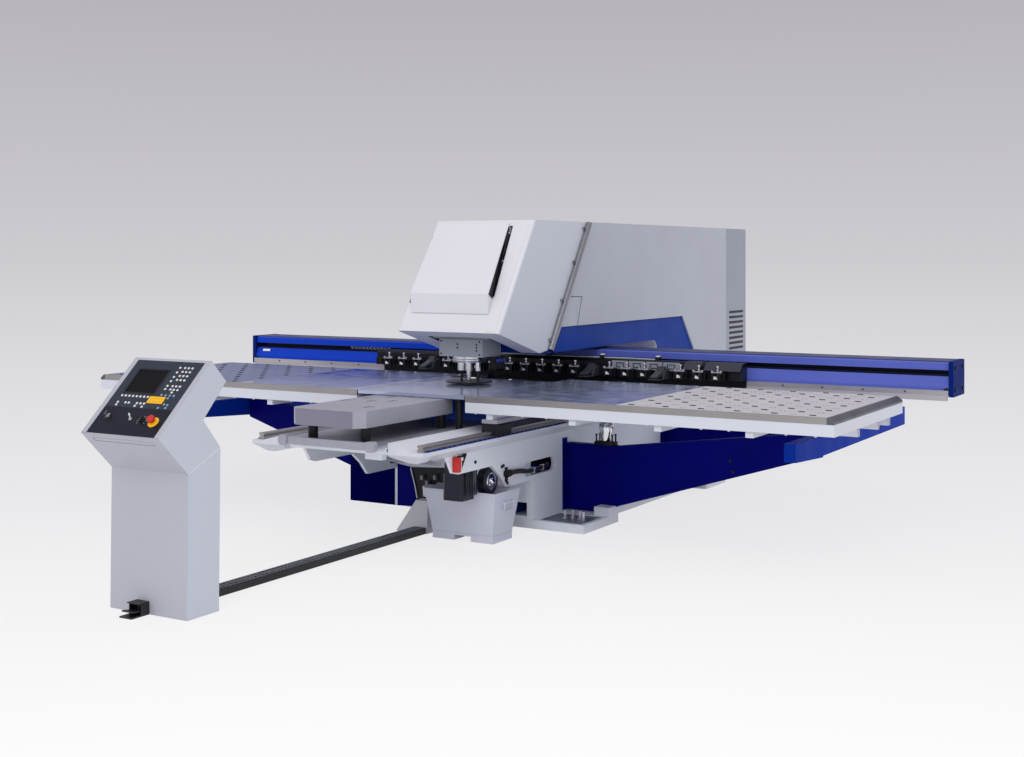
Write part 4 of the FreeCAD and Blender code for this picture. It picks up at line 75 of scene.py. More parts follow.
# a tube round a smooth line: a NURBS spline of order 3 with the route's points as its control points
def makeCord(name, route, settings, body, node):
    curve = bpy.data.curves.new(name, "CURVE")
    curve.dimensions = "3D"
    curve.bevel_depth = 1.0  # the points hold the real radius
    curve.bevel_resolution = 6
    curve.resolution_u = 16
    curve.use_fill_caps = True
    spline = curve.splines.new("NURBS")
    spline.points.add(len(route) - 1)
    spline.points.foreach_set("co", np.c_[route, np.ones(len(route))].ravel())
    spline.points.foreach_set("radius", np.full(len(route), settings["diameter"] / 2))
    spline.order_u = 3
    spline.use_endpoint_u = True
    piece = bpy.data.objects.new(name, curve)
    bpy.context.scene.collection.objects.link(piece)
    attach(piece, body)
    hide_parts(node)
    return piece


# the wave of one service line: shares of the run along X, shares of the wave along Y
def lineRoute(settings, index):
    side = settings["wave"] * (1 if index % 2 else -1)
    x = settings["first"] + settings["pitch"] * index + settings["run"] * np.array([0, 0.25, 0.5, 0.75, 1.0])
    y = settings["y"] + side * np.array([0, 0.2, 1.0, -1.0, -0.4])
    return np.stack([x, y, np.full(5, settings["z"])], -1)


hose = makeCord("supplyHose", cordSettings["hose"]["route"], cordSettings["hose"], "machine_frame",
                "feed_hose")
serviceLines = [makeCord("serviceLine%d" % (k + 1), lineRoute(cordSettings["lines"], k),
                         cordSettings["lines"], "tool_carriage", "carriage_lines")
                for k in range(4)]
print("cords laid:", 1 + len(serviceLines))


# screen values 0 to 255 as linear light, the usual 2.4 power curve
def linear(colour):
    c = np.array(colour, float) / 255.0
    low = c / 12.92
    high = ((c + 0.055) / 1.055) ** 2.4
    return tuple(np.where(c <= 0.04045, low, high)) + (1.0,)


# a shader node: inputs holds a link or a value for each socket, settings the node's own choices
def addNode(tree, kind, inputs=None, **settings):
    made = tree.nodes.new(kind)
    for key, value in settings.items():
        setattr(made, key, value)
    for key, value in (inputs or {}).items():
        if isinstance(value, bpy.types.NodeSocket):
            tree.links.new(value, made.inputs[key])
        else:
            made.inputs[key].default_value = value
    return made


# the piece's own coordinates, stretched by the scale
def mapped(tree, scale):
    coords = addNode(tree, "ShaderNodeTexCoord")
    return addNode(tree, "ShaderNodeMapping", {"Vector": coords.outputs["Object"], "Scale": scale}).outputs[0]


noiseSpan = (0.3, 0.7)  # nearly all of the noise lies between these


def noiseOf(tree, vector, scale, detail=3.0, roughness=0.5):
    inputs = {"Vector": vector, "Scale": scale, "Detail": detail, "Roughness": roughness}
    return addNode(tree, "ShaderNodeTexNoise", inputs).outputs["Fac"]


def ranged(tree, value, fromLow, fromHigh, toLow, toHigh):
    inputs = {"Value": value, "From Min": fromLow, "From Max": fromHigh, "To Min": toLow, "To Max": toHigh}
    return addNode(tree, "ShaderNodeMapRange", inputs).outputs[0]


def blendOf(tree, factor, first, second, mode="MIX"):
    made = addNode(tree, "ShaderNodeMix", data_type="RGBA", blend_type=mode)
    for index, value in ((0, factor), (6, first), (7, second)):
        if isinstance(value, bpy.types.NodeSocket):
            tree.links.new(value, made.inputs[index])
        else:
            made.inputs[index].default_value = value
    return made.outputs[2]


# rounded normal, and how far it leans from the face's own normal: 0 on the flat, 1 on an edge
def edgeOf(tree, radius):
    bevel = addNode(tree, "ShaderNodeBevel", {"Radius": radius}, samples=4)
    geometry = addNode(tree, "ShaderNodeNewGeometry")
    lean = addNode(tree, "ShaderNodeVectorMath", operation="DOT_PRODUCT")
    tree.links.new(bevel.outputs[0], lean.inputs[0])
    tree.links.new(geometry.outputs["Normal"], lean.inputs[1])
    return bevel.outputs[0], ranged(tree, lean.outputs["Value"], 0.98, 0.78, 0.0, 1.0)


# 1 inside a box of the object's own space, else 0; limits holds (axis, low, high) for each axis that matters
def zoneOf(tree, limits):
    coords = addNode(tree, "ShaderNodeTexCoord")
    split = addNode(tree, "ShaderNodeSeparateXYZ", {"Vector": coords.outputs["Object"]})
    share = None
    for axis, low, high in limits:
        above = addNode(tree, "ShaderNodeMath", {0: split.outputs[axis], 1: low}, operation="GREATER_THAN")
        below = addNode(tree, "ShaderNodeMath", {0: split.outputs[axis], 1: high}, operation="LESS_THAN")
        inside = addNode(tree, "ShaderNodeMath", {0: above.outputs[0], 1: below.outputs[0]},
                         operation="MULTIPLY")
        if share is not None:
            inside = addNode(tree, "ShaderNodeMath", {0: share, 1: inside.outputs[0]}, operation="MULTIPLY")
        share = inside.outputs[0]
    return share


# one finish: broad clouds and a fine grain tint the colour, zones recolour a box of the piece,
# edges are worn, and the grain drives the bump
def makeFinish(name, colour, rough, metal=0.0, tone=0.05, grain=(1, 1, 1), grainScale=300.0, grainTone=0.0,
               roughSpread=0.08, bump=0.04, bumpDepth=0.0006, edge=0.25, edgeColour=None, edgeRadius=0.003,
               coat=0.0, zones=(), broad=1.4, specular=0.5):
    material = bpy.data.materials.new(name)
    material.use_nodes = True
    tree = material.node_tree
    shader = tree.nodes["Principled BSDF"]
    base = linear(colour)
    dark = tuple(c * (1.0 - tone) for c in base[:3]) + (1.0,)
    light = tuple(min(1.0, c * (1.0 + tone)) for c in base[:3]) + (1.0,)
    plain = mapped(tree, (1, 1, 1))
    fine = noiseOf(tree, mapped(tree, grain), grainScale, 5.0, 0.6)
    clouds = noiseOf(tree, plain, broad, 4.0, 0.55)
    tint = blendOf(tree, ranged(tree, clouds, *noiseSpan, 0.0, 1.0), dark, light)
    if grainTone:
        shade = ranged(tree, fine, *noiseSpan, 1.0 - grainTone, 1.0 + grainTone)
        grey = addNode(tree, "ShaderNodeCombineColor", {0: shade, 1: shade, 2: shade})
        tint = blendOf(tree, 1.0, tint, grey.outputs[0], "MULTIPLY")
    dull = noiseOf(tree, plain, broad * 3.1, 3.0)
    roughness = ranged(tree, dull, *noiseSpan, rough - roughSpread / 2, rough + roughSpread)
    metalness = None
    for zone in zones:
        mask = zoneOf(tree, zone["limits"])
        tint = blendOf(tree, mask, tint, linear(zone["colour"]))
        if "metal" in zone:
            metalness = ranged(tree, mask, 0.0, 1.0, metal, zone["metal"])
    rounded, worn = edgeOf(tree, edgeRadius)
    if edge:
        patchy = ranged(tree, noiseOf(tree, plain, 23.0, 4.0), 0.35, 0.65, 0.0, edge)
        share = addNode(tree, "ShaderNodeMath", {0: worn, 1: patchy}, operation="MULTIPLY").outputs[0]
        paler = tuple(min(1.0, c * 1.35 + 0.03) for c in base[:3]) + (1.0,)
        rub = linear(edgeColour) if edgeColour else paler
        tint = blendOf(tree, share, tint, rub)
    relief = addNode(tree, "ShaderNodeBump", {"Strength": bump, "Distance": bumpDepth, "Height": fine,
                                              "Normal": rounded})
    tree.links.new(tint, shader.inputs["Base Color"])
    tree.links.new(roughness, shader.inputs["Roughness"])
    tree.links.new(relief.outputs[0], shader.inputs["Normal"])
    if metalness is None:
        shader.inputs["Metallic"].default_value = metal
    else:
        tree.links.new(metalness, shader.inputs["Metallic"])
    shader.inputs["Specular IOR Level"].default_value = specular
    shader.inputs["Coat Weight"].default_value = coat
    shader.inputs["Coat Roughness"].default_value = 0.12
    return material


# every finish of the machine; colours are screen values, and a zone tints part of a piece by its place
finishes = {
    "coverPaint": dict(colour=(223, 222, 229), rough=0.36, tone=0.025, coat=0.08,
                       # the hood's two side faces are darker than its front: painted shade
                       zones=(dict(limits=((0, 0.4285, 1.0),), colour=(205, 208, 219)),
                              dict(limits=((0, -1.0, -0.4285),), colour=(205, 208, 219)))),
    "lidPaint": dict(colour=(223, 222, 229), rough=0.36, tone=0.025, coat=0.08),
    # the cover paint darkened as painted shade for the rear cabinet and its door
    "cabinetPaintShaded": dict(colour=(157, 162, 176), rough=0.4, tone=0.03),
    "framePaint": dict(colour=(236, 239, 248), rough=0.38, tone=0.03, edge=0.35, edgeColour=(150, 150, 155)),
    "deepBlue": dict(colour=(1, 5, 116), rough=0.5, tone=0.14, edge=0.35, edgeColour=(40, 60, 160),
                     specular=0.05),
    "beamBlue": dict(colour=(4, 52, 164), rough=0.5, tone=0.1, edge=0.35, edgeColour=(70, 110, 205),
                     specular=0.06),
    "bandBlue": dict(colour=(17, 58, 150), rough=0.42, tone=0.08, specular=0.1),
    "railBlue": dict(colour=(92, 106, 196), rough=0.36, tone=0.08, edge=0.35, edgeColour=(140, 152, 218),
                     specular=0.12,
                     # the right half is paler than the deep blue left half: painted reflection; the two bands
                     # are darkened as painted shade
                     zones=(dict(limits=((0, -3.2, 0.0),), colour=(12, 62, 196)),
                            dict(limits=((1, 1.301, 1.41), (2, 1.08, 1.1275)), colour=(9, 11, 42)),
                            dict(limits=((2, 1.1795, 1.3),), colour=(52, 58, 104)))),
    "boxBlue": dict(colour=(0, 1, 78), rough=0.7, tone=0.1, edge=0.35, edgeColour=(50, 66, 150),
                    specular=0.02),
    "capBlue": dict(colour=(1, 34, 112), rough=0.55, tone=0.1, edge=0.35, edgeColour=(90, 120, 195),
                    specular=0.06),
    "tableSteel": dict(colour=(184, 192, 220), rough=0.17, metal=0.7, tone=0.06, grain=(90, 2, 2),
                       grainScale=9.0, grainTone=0.06, roughSpread=0.1, bump=0.05, edge=0.0, broad=2.2,
                       # the left table is tinted blue as painted reflection; it is the same steel as the
                       # right
                       zones=(dict(limits=((0, -4.0, -0.55),), colour=(120, 134, 186)),)),
    "brushSteel": dict(colour=(224, 219, 222), rough=0.4, metal=0.45, tone=0.05, grain=(60, 3, 3),
                       grainScale=11.0, grainTone=0.05, bump=0.05, edge=0.0,
                       # the left brush table is tinted blue and made more metallic as painted reflection
                       zones=(dict(limits=((0, -4.0, -1.0),), colour=(140, 150, 190), metal=0.85),)),
    "plateSteel": dict(colour=(166, 165, 178), rough=0.36, metal=0.3, tone=0.07, grain=(3, 70, 3),
                       grainScale=9.0, grainTone=0.07, edge=0.5, edgeColour=(225, 225, 228),
                       # the front face is darkened as painted shade
                       zones=(dict(limits=((1, -1.712, -1.7085), (2, 0.8, 0.96)),
                                   colour=(136, 134, 152)),)),
    "stripSteel": dict(colour=(172, 168, 168), rough=0.36, metal=0.9, tone=0.08, grain=(3, 90, 90),
                       grainScale=10.0, grainTone=0.08, edge=0.5, edgeColour=(225, 225, 228)),
    "brightSteel": dict(colour=(214, 215, 220), rough=0.16, metal=1.0, tone=0.05, grain=(2, 2, 160),
                        grainScale=10.0, grainTone=0.05, edge=0.3, edgeRadius=0.0012),
    "castingGrey": dict(colour=(150, 154, 164), rough=0.42, tone=0.07, grainScale=160.0, bump=0.12, edge=0.4,
                        edgeColour=(205, 206, 212)),
    "blackMetal": dict(colour=(24, 25, 31), rough=0.34, metal=0.35, tone=0.18, grainScale=220.0, bump=0.08,
                       edge=0.5, edgeColour=(120, 124, 138), edgeRadius=0.002),
    "trimAlloy": dict(colour=(205, 205, 212), rough=0.24, metal=0.95, tone=0.04, grain=(120, 120, 2),
                      grainScale=9.0, grainTone=0.05, edge=0.2),
    "bristle": dict(colour=(38, 38, 44), rough=0.7, tone=0.2, grain=(1, 1, 0.2), grainScale=900.0,
                    grainTone=0.35, bump=0.6, bumpDepth=0.001, edge=0.0),
    "hoseRubber": dict(colour=(26, 26, 31), rough=0.46, tone=0.15, grainScale=500.0, bump=0.1, edge=0.0),
    "paleLine": dict(colour=(196, 200, 208), rough=0.32, tone=0.06, grainScale=400.0, bump=0.05, edge=0.0),
    # the console's right side is lighter: painted light on that side
    "consolePaint": dict(colour=(180, 181, 191), rough=0.46, tone=0.025, grainScale=900.0, bump=0.16,
                         edge=0.25, zones=(dict(limits=((0, 0.2635, 0.4),), colour=(197, 201, 214)),)),
    "panelLacquer": dict(colour=(58, 66, 78), rough=0.42, tone=0.06, grainScale=1200.0, bump=0.08, edge=0.2),
    "screenGlass": dict(colour=(5, 7, 12), rough=0.28, tone=0.1, bump=0.0, edge=0.0, specular=0.15,
                        roughSpread=0.04),
    "keyPlastic": dict(colour=(224, 224, 226), rough=0.42, tone=0.04, grainScale=1500.0, edge=0.2,
                       edgeRadius=0.0008),
    "signalYellow": dict(colour=(248, 190, 10), rough=0.34, tone=0.05, grainScale=900.0, edge=0.2,
                         edgeRadius=0.0008),
    "signalRed": dict(colour=(206, 34, 26), rough=0.3, tone=0.06, grainScale=900.0, edge=0.2, coat=0.15,
                      edgeRadius=0.0008),
    "blackPlastic": dict(colour=(26, 27, 31), rough=0.46, tone=0.12, grainScale=900.0, bump=0.12, edge=0.35,
                         edgeRadius=0.0015),
    "binPaint": dict(colour=(208, 210, 226), rough=0.44, tone=0.04, edge=0.5, edgeColour=(140, 140, 148)),
    "trayBlack": dict(colour=(22, 23, 28), rough=0.42, metal=0.3, tone=0.15, edge=0.5,
                      edgeColour=(130, 132, 140),
                      zones=(dict(limits=((1, -0.64, 1.0),), colour=(206, 208, 214)),)),
    "stripPair": dict(colour=(172, 168, 168), rough=0.36, metal=0.9, tone=0.08, grain=(3, 90, 90),
                      grainScale=10.0, grainTone=0.08, edge=0.5, edgeColour=(225, 225, 228),
                      # darker at both ends: painted shade; lighter between y 1.1 and 1.4: painted reflection
                      zones=(dict(limits=((0, 2.934, 4.0), (1, -1.0, 1.0)), colour=(108, 109, 118)),
                             dict(limits=((0, -4.0, -2.934), (1, -1.0, 1.0)), colour=(108, 109, 118)),
                             dict(limits=((1, 1.1, 1.4),), colour=(196, 192, 196)))),
    "railSteel": dict(colour=(186, 182, 187), rough=0.4, metal=0.4, tone=0.06, grain=(3, 90, 90),
                      grainScale=10.0, grainTone=0.08, edge=0.3),
    "tubeSteel": dict(colour=(172, 172, 176), rough=0.18, metal=1.0, tone=0.03, roughSpread=0.04, bump=0.0,
                      edge=0.0),
    # the frame's white darkened as painted shade for the guide beams
    "beamPaintShaded": dict(colour=(214, 216, 226), rough=0.38, tone=0.03, edge=0.35, edgeColour=(150, 150, 155)),
    "sheetDark": dict(colour=(60, 62, 72), rough=0.42, metal=0.2, tone=0.1, grainScale=160.0, bump=0.1,
                      edge=0.5, edgeColour=(150, 152, 160)),
    "latticeGrey": dict(colour=(128, 130, 138), rough=0.45, metal=0.3, tone=0.08, grainScale=900.0, edge=0.3,
                        edgeRadius=0.0006),
    "driveBlack": dict(colour=(27, 31, 48), rough=0.36, metal=0.4, tone=0.15, grainScale=200.0, bump=0.1,
                       edge=0.6, edgeColour=(150, 152, 160)),
    "chrome": dict(colour=(226, 227, 231), rough=0.09, metal=1.0, tone=0.03, grain=(1, 1, 60), grainScale=8.0,
                   grainTone=0.03, roughSpread=0.05, bump=0.02, edge=0.0),
    # the cover paint darkened as painted shade for the body covers' side faces
    "sidePaintShaded": dict(colour=(184, 187, 199), rough=0.38, tone=0.03, coat=0.05),
    # the frame's white darkened as painted shade for the wing frames
    "skirtPaintShaded": dict(colour=(214, 217, 227), rough=0.4, tone=0.025, edge=0.35, edgeColour=(150, 150, 155)),
    "basePaint": dict(colour=(232, 235, 243), rough=0.4, tone=0.03, edge=0.35, edgeColour=(150, 150, 155),
                      zones=(dict(limits=((0, 0.62, 0.97), (1, -0.07, 0.41), (2, 0.05, 0.057)),
                                  colour=(112, 115, 128)),)),
    "markGrey": dict(colour=(126, 122, 130), rough=0.45, metal=0.4, tone=0.1, grainScale=900.0, edge=0.0),
    "boltBlack": dict(colour=(20, 21, 26), rough=0.38, metal=0.5, tone=0.15, grainScale=900.0, bump=0.06,
                      edge=0.5, edgeColour=(110, 112, 122), edgeRadius=0.0008),
    "boltZinc": dict(colour=(206, 208, 216), rough=0.3, metal=0.8, tone=0.06, grainScale=900.0, edge=0.3,
                     edgeRadius=0.0008),
    "signWhite": dict(colour=(236, 236, 238), rough=0.4, tone=0.03, grainScale=900.0, edge=0.2,
                      edgeRadius=0.0006),
    "keyBlue": dict(colour=(136, 160, 186), rough=0.42, tone=0.06, grainScale=1500.0, edge=0.2,
                    edgeRadius=0.0008),
    "plugBlue": dict(colour=(22, 60, 150), rough=0.36, tone=0.08, grainScale=900.0, edge=0.25,
                     edgeRadius=0.0008),
    # the panel's lower part is darker: painted shade
    "panelSheet": dict(colour=(44, 51, 65), rough=0.4, tone=0.05, grainScale=1200.0, bump=0.07, edge=0.2,
                       edgeColour=(90, 96, 110), edgeRadius=0.001, specular=0.35,
                       zones=(dict(limits=((2, 0.9, 1.114),), colour=(15, 22, 38)),)),
}
paint = {name: makeFinish(name, **settings) for name, settings in finishes.items()}
print("finishes made:", len(paint))

nodeFinish = {
    "coverPaint": "hood",
    "cabinetPaintShaded": "rear_cabinet cabinet_door",
    "framePaint": "lower_frame front_cross_member cross_tubes",
    "beamPaintShaded": "guide_beams",
    "basePaint": "base_plates",
    "skirtPaintShaded": "wing_frames",
    "sidePaintShaded": "body_covers",
    "deepBlue": "outriggers",
    "beamBlue": "lateral_beams",
    "bandBlue": "c_frame",
    "railBlue": "cross_rail",
    "capBlue": "rail_end_caps",
    "boxBlue": "power_box",
    "tableSteel": "centre_table table_plates",
    "brushSteel": "brush_tables",
    "plateSteel": "platform loading_plate die_holder slide_beams",
    "stripSteel": "guide_rails",
    "stripPair": "ground_strips",
    "brightSteel": "die punch_ram tool_rotor key_switch",
    "castingGrey": "head_casting",
    "sheetDark": "clamp_bodies clamp_jaw_left clamp_jaw_middle clamp_jaw_right cover_sheets",
    "blackMetal": "platform_posts bearing_blocks carriage_beam cassettes stripper",
    "driveBlack": "drive_unit",
    "tubeSteel": "cover_trim",
    "consolePaint": "console_housing",
    "panelLacquer": "console_panel",
    "screenGlass": "screen",
    "blackPlastic": "selector_knob foot_switch foot_pedal",
    "binPaint": "scrap_bin",
    "trayBlack": "cable_tray",
}
for finishName, members in nodeFinish.items():
    for member in members.split():
        data = nodes[member].data
        data.materials.clear()
        data.materials.append(paint[finishName])
hose.data.materials.append(paint["hoseRubber"])
for line in serviceLines:
    line.data.materials.append(paint["paleLine"])
print("nodes dressed")


# shapes: a shape is its points (n x 3) and its faces, and its own Z is its axis

# walls join ring i to ring i + 1 and corner j to corner j + 1; a closed stack joins its last ring
# to its first, an open one gets a cap at each end
def lofted(rings, closed=False):
    count, corners = rings.shape[:2]
    i, j = np.meshgrid(np.arange(count if closed else count - 1), np.arange(corners), indexing="ij")
    k, up = (j + 1) % corners, (i + 1) % count
    walls = np.stack([i * corners + j, i * corners + k, up * corners + k, up * corners + j], -1)
    faces = [tuple(wall) for wall in walls.reshape(-1, 4).tolist()]
    if not closed:
        faces += [tuple(range(corners - 1, -1, -1)), tuple(range((count - 1) * corners, count * corners))]
    return rings.reshape(-1, 3), faces


# a profile of radius and height swung round Z: (r cos a, r sin a, h)
def turned(profile, corners=16, closed=False):
    r, h = np.array(profile, float).T[:, :, None]
    a = 2 * np.pi * (np.arange(corners) + 0.5) / corners
    return lofted(np.stack([r * np.cos(a), r * np.sin(a), h + 0 * a], -1), closed)


# a rounded rectangle: the corner's centre + (radius - inset)(cos a, sin a), a quarter turn for each corner
def rounded(width, depth, corner, inset=0.0, steps=3):
    a = np.linspace(0, np.pi / 2, steps) + np.pi / 2 * np.arange(4)[:, None]
    signs = np.array([[1, 1], [-1, 1], [-1, -1], [1, -1]], float)[:, None]
    reach = np.array([width, depth]) / 2 - corner
    return (signs * reach + (corner - inset) * np.stack([np.cos(a), np.sin(a)], -1)).reshape(-1, 2)


# flat outlines set one above the other, each at its height
def stacked(levels):
    return np.array([np.c_[flat, np.full(len(flat), height)] for flat, height in levels])


# a block with rounded corners, drawn in by the bevel at both ends
def slab(width, depth, height, corner=0.003, bevel=0.0012, steps=3):
    full, drawn = rounded(width, depth, corner, 0.0, steps), rounded(width, depth, corner, bevel, steps)
    half = height / 2
    return lofted(stacked([(drawn, -half), (full, bevel - half), (full, half - bevel), (drawn, half)]))


# a flat frame: up the outside, in over the top, down the opening and back below
def frameOf(outer, inner, height, corner=0.004, bevel=0.001, hole=0.003):
    side, mouth = rounded(*outer, corner), rounded(*inner, hole)
    top, lip = rounded(*outer, corner, bevel), rounded(*inner, hole, -bevel)
    return lofted(stacked([(side, 0), (side, height - bevel), (top, height), (lip, height),
                           (mouth, height - bevel), (mouth, 0)]), closed=True)


# any outline, given anticlockwise, carried half its height up and down
def prism(outline, height):
    flat = np.array(outline, float)
    return lofted(stacked([(flat, -height / 2), (flat, height / 2)]))


# a round section carried along a path: p + r (cos a n + sin a b), with n and b square to the path
def piped(path, radius, corners=8):
    path = np.array(path, float)
    along = np.gradient(path, axis=0)
    along /= np.linalg.norm(along, axis=1)[:, None]
    across = np.eye(3)[np.abs(along).mean(0).argmin()]
    n = across - (along @ across)[:, None] * along
    n /= np.linalg.norm(n, axis=1)[:, None]
    b = np.cross(along, n)
    a = (2 * np.pi * np.arange(corners) / corners)[None, :, None]
    return lofted(path[:, None] + radius * (np.cos(a) * n[:, None] + np.sin(a) * b[:, None]))


# rows are the shape's own X, Y and Z in the room: Z points out, X lies as near to "along" as it can
def facing(out, along=(1, 0, 0)):
    z = np.array(out, float) / np.linalg.norm(out)
    x = np.array(along, float) - np.dot(along, z) * z
    x /= np.linalg.norm(x)
    return np.array([x, np.cross(z, x), z])


# one shape at many places, all turned alike: place + points . axes
def stamped(shape, places, axes=None):
    points, faces = shape
    places = np.atleast_2d(np.array(places, float))
    local = points if axes is None else points @ axes
    everywhere = (places[:, None] + local[None]).reshape(-1, 3)
    return everywhere, [tuple(v + k * len(points) for v in face) for k in range(len(places))
                        for face in faces]


# several shapes as one: each shape's face numbers move up past the points of those before it
def together(*shapes):
    starts = np.cumsum([0] + [len(points) for points, faces in shapes])
    faces = [tuple(int(v + start) for v in face) for (points, own), start in zip(shapes, starts)
             for face in own]
    return np.concatenate([points for points, own in shapes]), faces


# places, then the same places across the machine's middle plane
def bothSides(places):
    places = np.atleast_2d(np.array(places, float))
    return np.concatenate([places, places * (-1, 1, 1)])


# the same shape across the middle plane, its faces turned round so that they still point out
def mirrored(shape):
    points, faces = shape
    return points * (-1, 1, 1), [face[::-1] for face in faces]


# a mesh of the shape, smooth but for edges over the sharp angle, riding on its body
def makePiece(name, shape, finish, body, hides=(), sharp=35.0):
    points, faces = shape
    mesh = bpy.data.meshes.new(name)
    mesh.from_pydata(points.tolist(), [], faces)
    mesh.materials.append(paint[finish])
    mesh.shade_smooth()
    mesh.set_sharp_from_angle(angle=math.radians(sharp))
    piece = bpy.data.objects.new(name, mesh)
    bpy.context.scene.collection.objects.link(piece)
    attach(piece, body)
    if hides:
        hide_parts(*hides)


hexHead = turned([(0.011, 0), (0.0115, 0.001), (0.0115, 0.007), (0.0095, 0.009), (0.002, 0.0088)], 6)
smallHead = turned([(0.006, 0), (0.0066, 0.001), (0.0062, 0.004), (0.004, 0.0055), (0.0012, 0.0058)], 10)
outRight = facing((1, 0, 0), (0, 1, 0))
outLeft = facing((-1, 0, 0), (0, 1, 0))
outFront = facing((0, -1, 0))
outDown = facing((0, 0, -1))


# moving table: skirt screws, bristle tufts in their staggered rows, and the double marks between them
tableSettings = dict(screwFirst=0.52, screwLast=2.96, screwPitch=0.18, screwY=-0.738, screwZ=0.873,
                     tuftX=1.647, tuftY=-0.689, pitchX=0.236, pitchY=0.150, rows=10, columns=6, lastX=2.892,
                     top=0.985, tuft=(0.042, 0.014, 0.005, 0.0069, 0.0015, 4), tuftLift=0.0015,
                     markGap=0.013)


def makeTableDetails(settings):
    x = np.arange(settings["screwFirst"], settings["screwLast"], settings["screwPitch"])
    places = np.stack([x, 0 * x + settings["screwY"], 0 * x + settings["screwZ"]], -1)
    dome = turned([(0.007, 0), (0.0095, 0.0008), (0.0095, 0.005), (0.0065, 0.0085), (0.002, 0.0095)], 12)
    makePiece("skirtScrews", stamped(dome, bothSides(places), outDown), "boltZinc", "cross_slide")
    row, column = np.meshgrid(np.arange(settings["rows"]), np.arange(settings["columns"]), indexing="ij")
    x = settings["tuftX"] + settings["pitchX"] * (column + 0.5 * (row % 2))
    y = settings["tuftY"] + settings["pitchY"] * row
    spots = np.stack([x, y, np.full(x.shape, settings["top"])], -1).reshape(-1, 3)
    tufts = spots[spots[:, 0] < settings["lastX"]] + (0, 0, settings["tuftLift"])
    bristles = slab(*settings["tuft"])
    makePiece("brushTufts", stamped(bristles, bothSides(tufts)), "bristle", "cross_slide",
              ["brush_inserts"])
    between = spots + (settings["pitchX"] / 2, 0, 0)
    between = between[between[:, 0] < settings["lastX"]]
    apart = (settings["markGap"], 0, 0)
    pair = np.concatenate([between - apart, between + apart])
    plug = turned([(0.0075, -0.001), (0.0075, 0.0004), (0.0062, 0.0008), (0.005, 0.0002), (0.001, 0.0002)],
                  10)
    makePiece("tableMarks", stamped(plug, bothSides(pair)), "markGrey", "cross_slide")


makeTableDetails(tableSettings)


# loading plate: small groups of tapped holes in its top
loadingSettings = dict(
    top=0.957, step=0.026, pattern=((0, -1), (0, 0), (0, 1), (1, 1)),
    groups=((-0.255, -1.169), (-0.213, -0.976), (-0.072, -1.122), (0.133, -1.432), (-0.112, -0.838),
            (0.049, -1.051), (0.024, -0.757)))


def makeLoadingHoles(settings):
    groups = np.array(settings["groups"])
    steps = np.array(settings["pattern"]) * settings["step"]
    spots = (groups[:, None] + steps[None]).reshape(-1, 2)
    places = np.c_[spots, np.full(len(spots), settings["top"])]
    plug = turned([(0.0095, -0.001), (0.0095, 0.0005), (0.0082, 0.001), (0.0072, 0.0002), (0.001, 0.0002)],
                  12)
    makePiece("loadingHoles", stamped(plug, places), "boltBlack", "machine_frame")


makeLoadingHoles(loadingSettings)
print("table and loading plate detailed")


# operator console: panel sheet with its window, keys, switches and lip
# x across and s up the panel, in millimetres; the sizes of rims, keys and marks are in metres
consoleSettings = dict(
    foot=(-18.0, -3404.0, 981.0), rise=377.0, run=397.0, start=41.2,
    sheet=(492.0, 524.0), sheetFoot=-36.0, sheetHeight=1.4, sheetLift=0.05, window=(218.0, 166.0),
    windowCentre=(-72.3, 338.0), screenRim=((0.232, 0.180), (0.216, 0.164)), keySize=13.0, keyLift=3.4,
    softKeys=(-175.0, 27.3, 8, 227.0),
    keys=((136, 443), (162, 443), (189, 443), (136, 415), (162, 415), (189, 415), (136, 386), (162, 386),
          (189, 386), (136, 357), (162, 357), (189, 357), (100, 443), (100, 409), (100, 376), (100, 346),
          (98, 312), (136, 312), (161, 312), (188, 312), (98, 289), (136, 288), (161, 287), (188, 287),
          (160, 268), (-172, 180), (-170, 161), (-115, 180), (-90, 180), (-30, 180), (-4, 180), (22, 180),
          (-33, 161), (21, 158)),
    blueKeys=((101, 247), (132, 246), (162, 246), (190, 246), (161, 227), (165, 184), (190, 181),
              (139, 158), (190, 161)),
    plate=(86.0, 211.0, 114.0, 48.0), plateLift=2.4, plateGrid=(42, 11, 5), plateKey=0.0125, plateKeyLift=4.6,
    stop=(175.3, 62.0), keySwitch=(-167.3, 80.0), toggle=(-1.0, 73.0),
    selector=(87.3, 66.0), dialReach=29.0, dialTurns=(-30, 210, 9), dialLift=1.7, lipStrip=(0.556, -39, 1.0),
    neck=(-18.0, -3185.0, 769.0), drawer=(435.0, 27.0), drawerDrop=50.0, drawerDepth=-3.2, seamRadius=0.0016,
    sideSeam=((264.6, -3184.0, 770.0), (264.6, -3064.0, 827.0), (264.6, -2943.0, 885.0)))


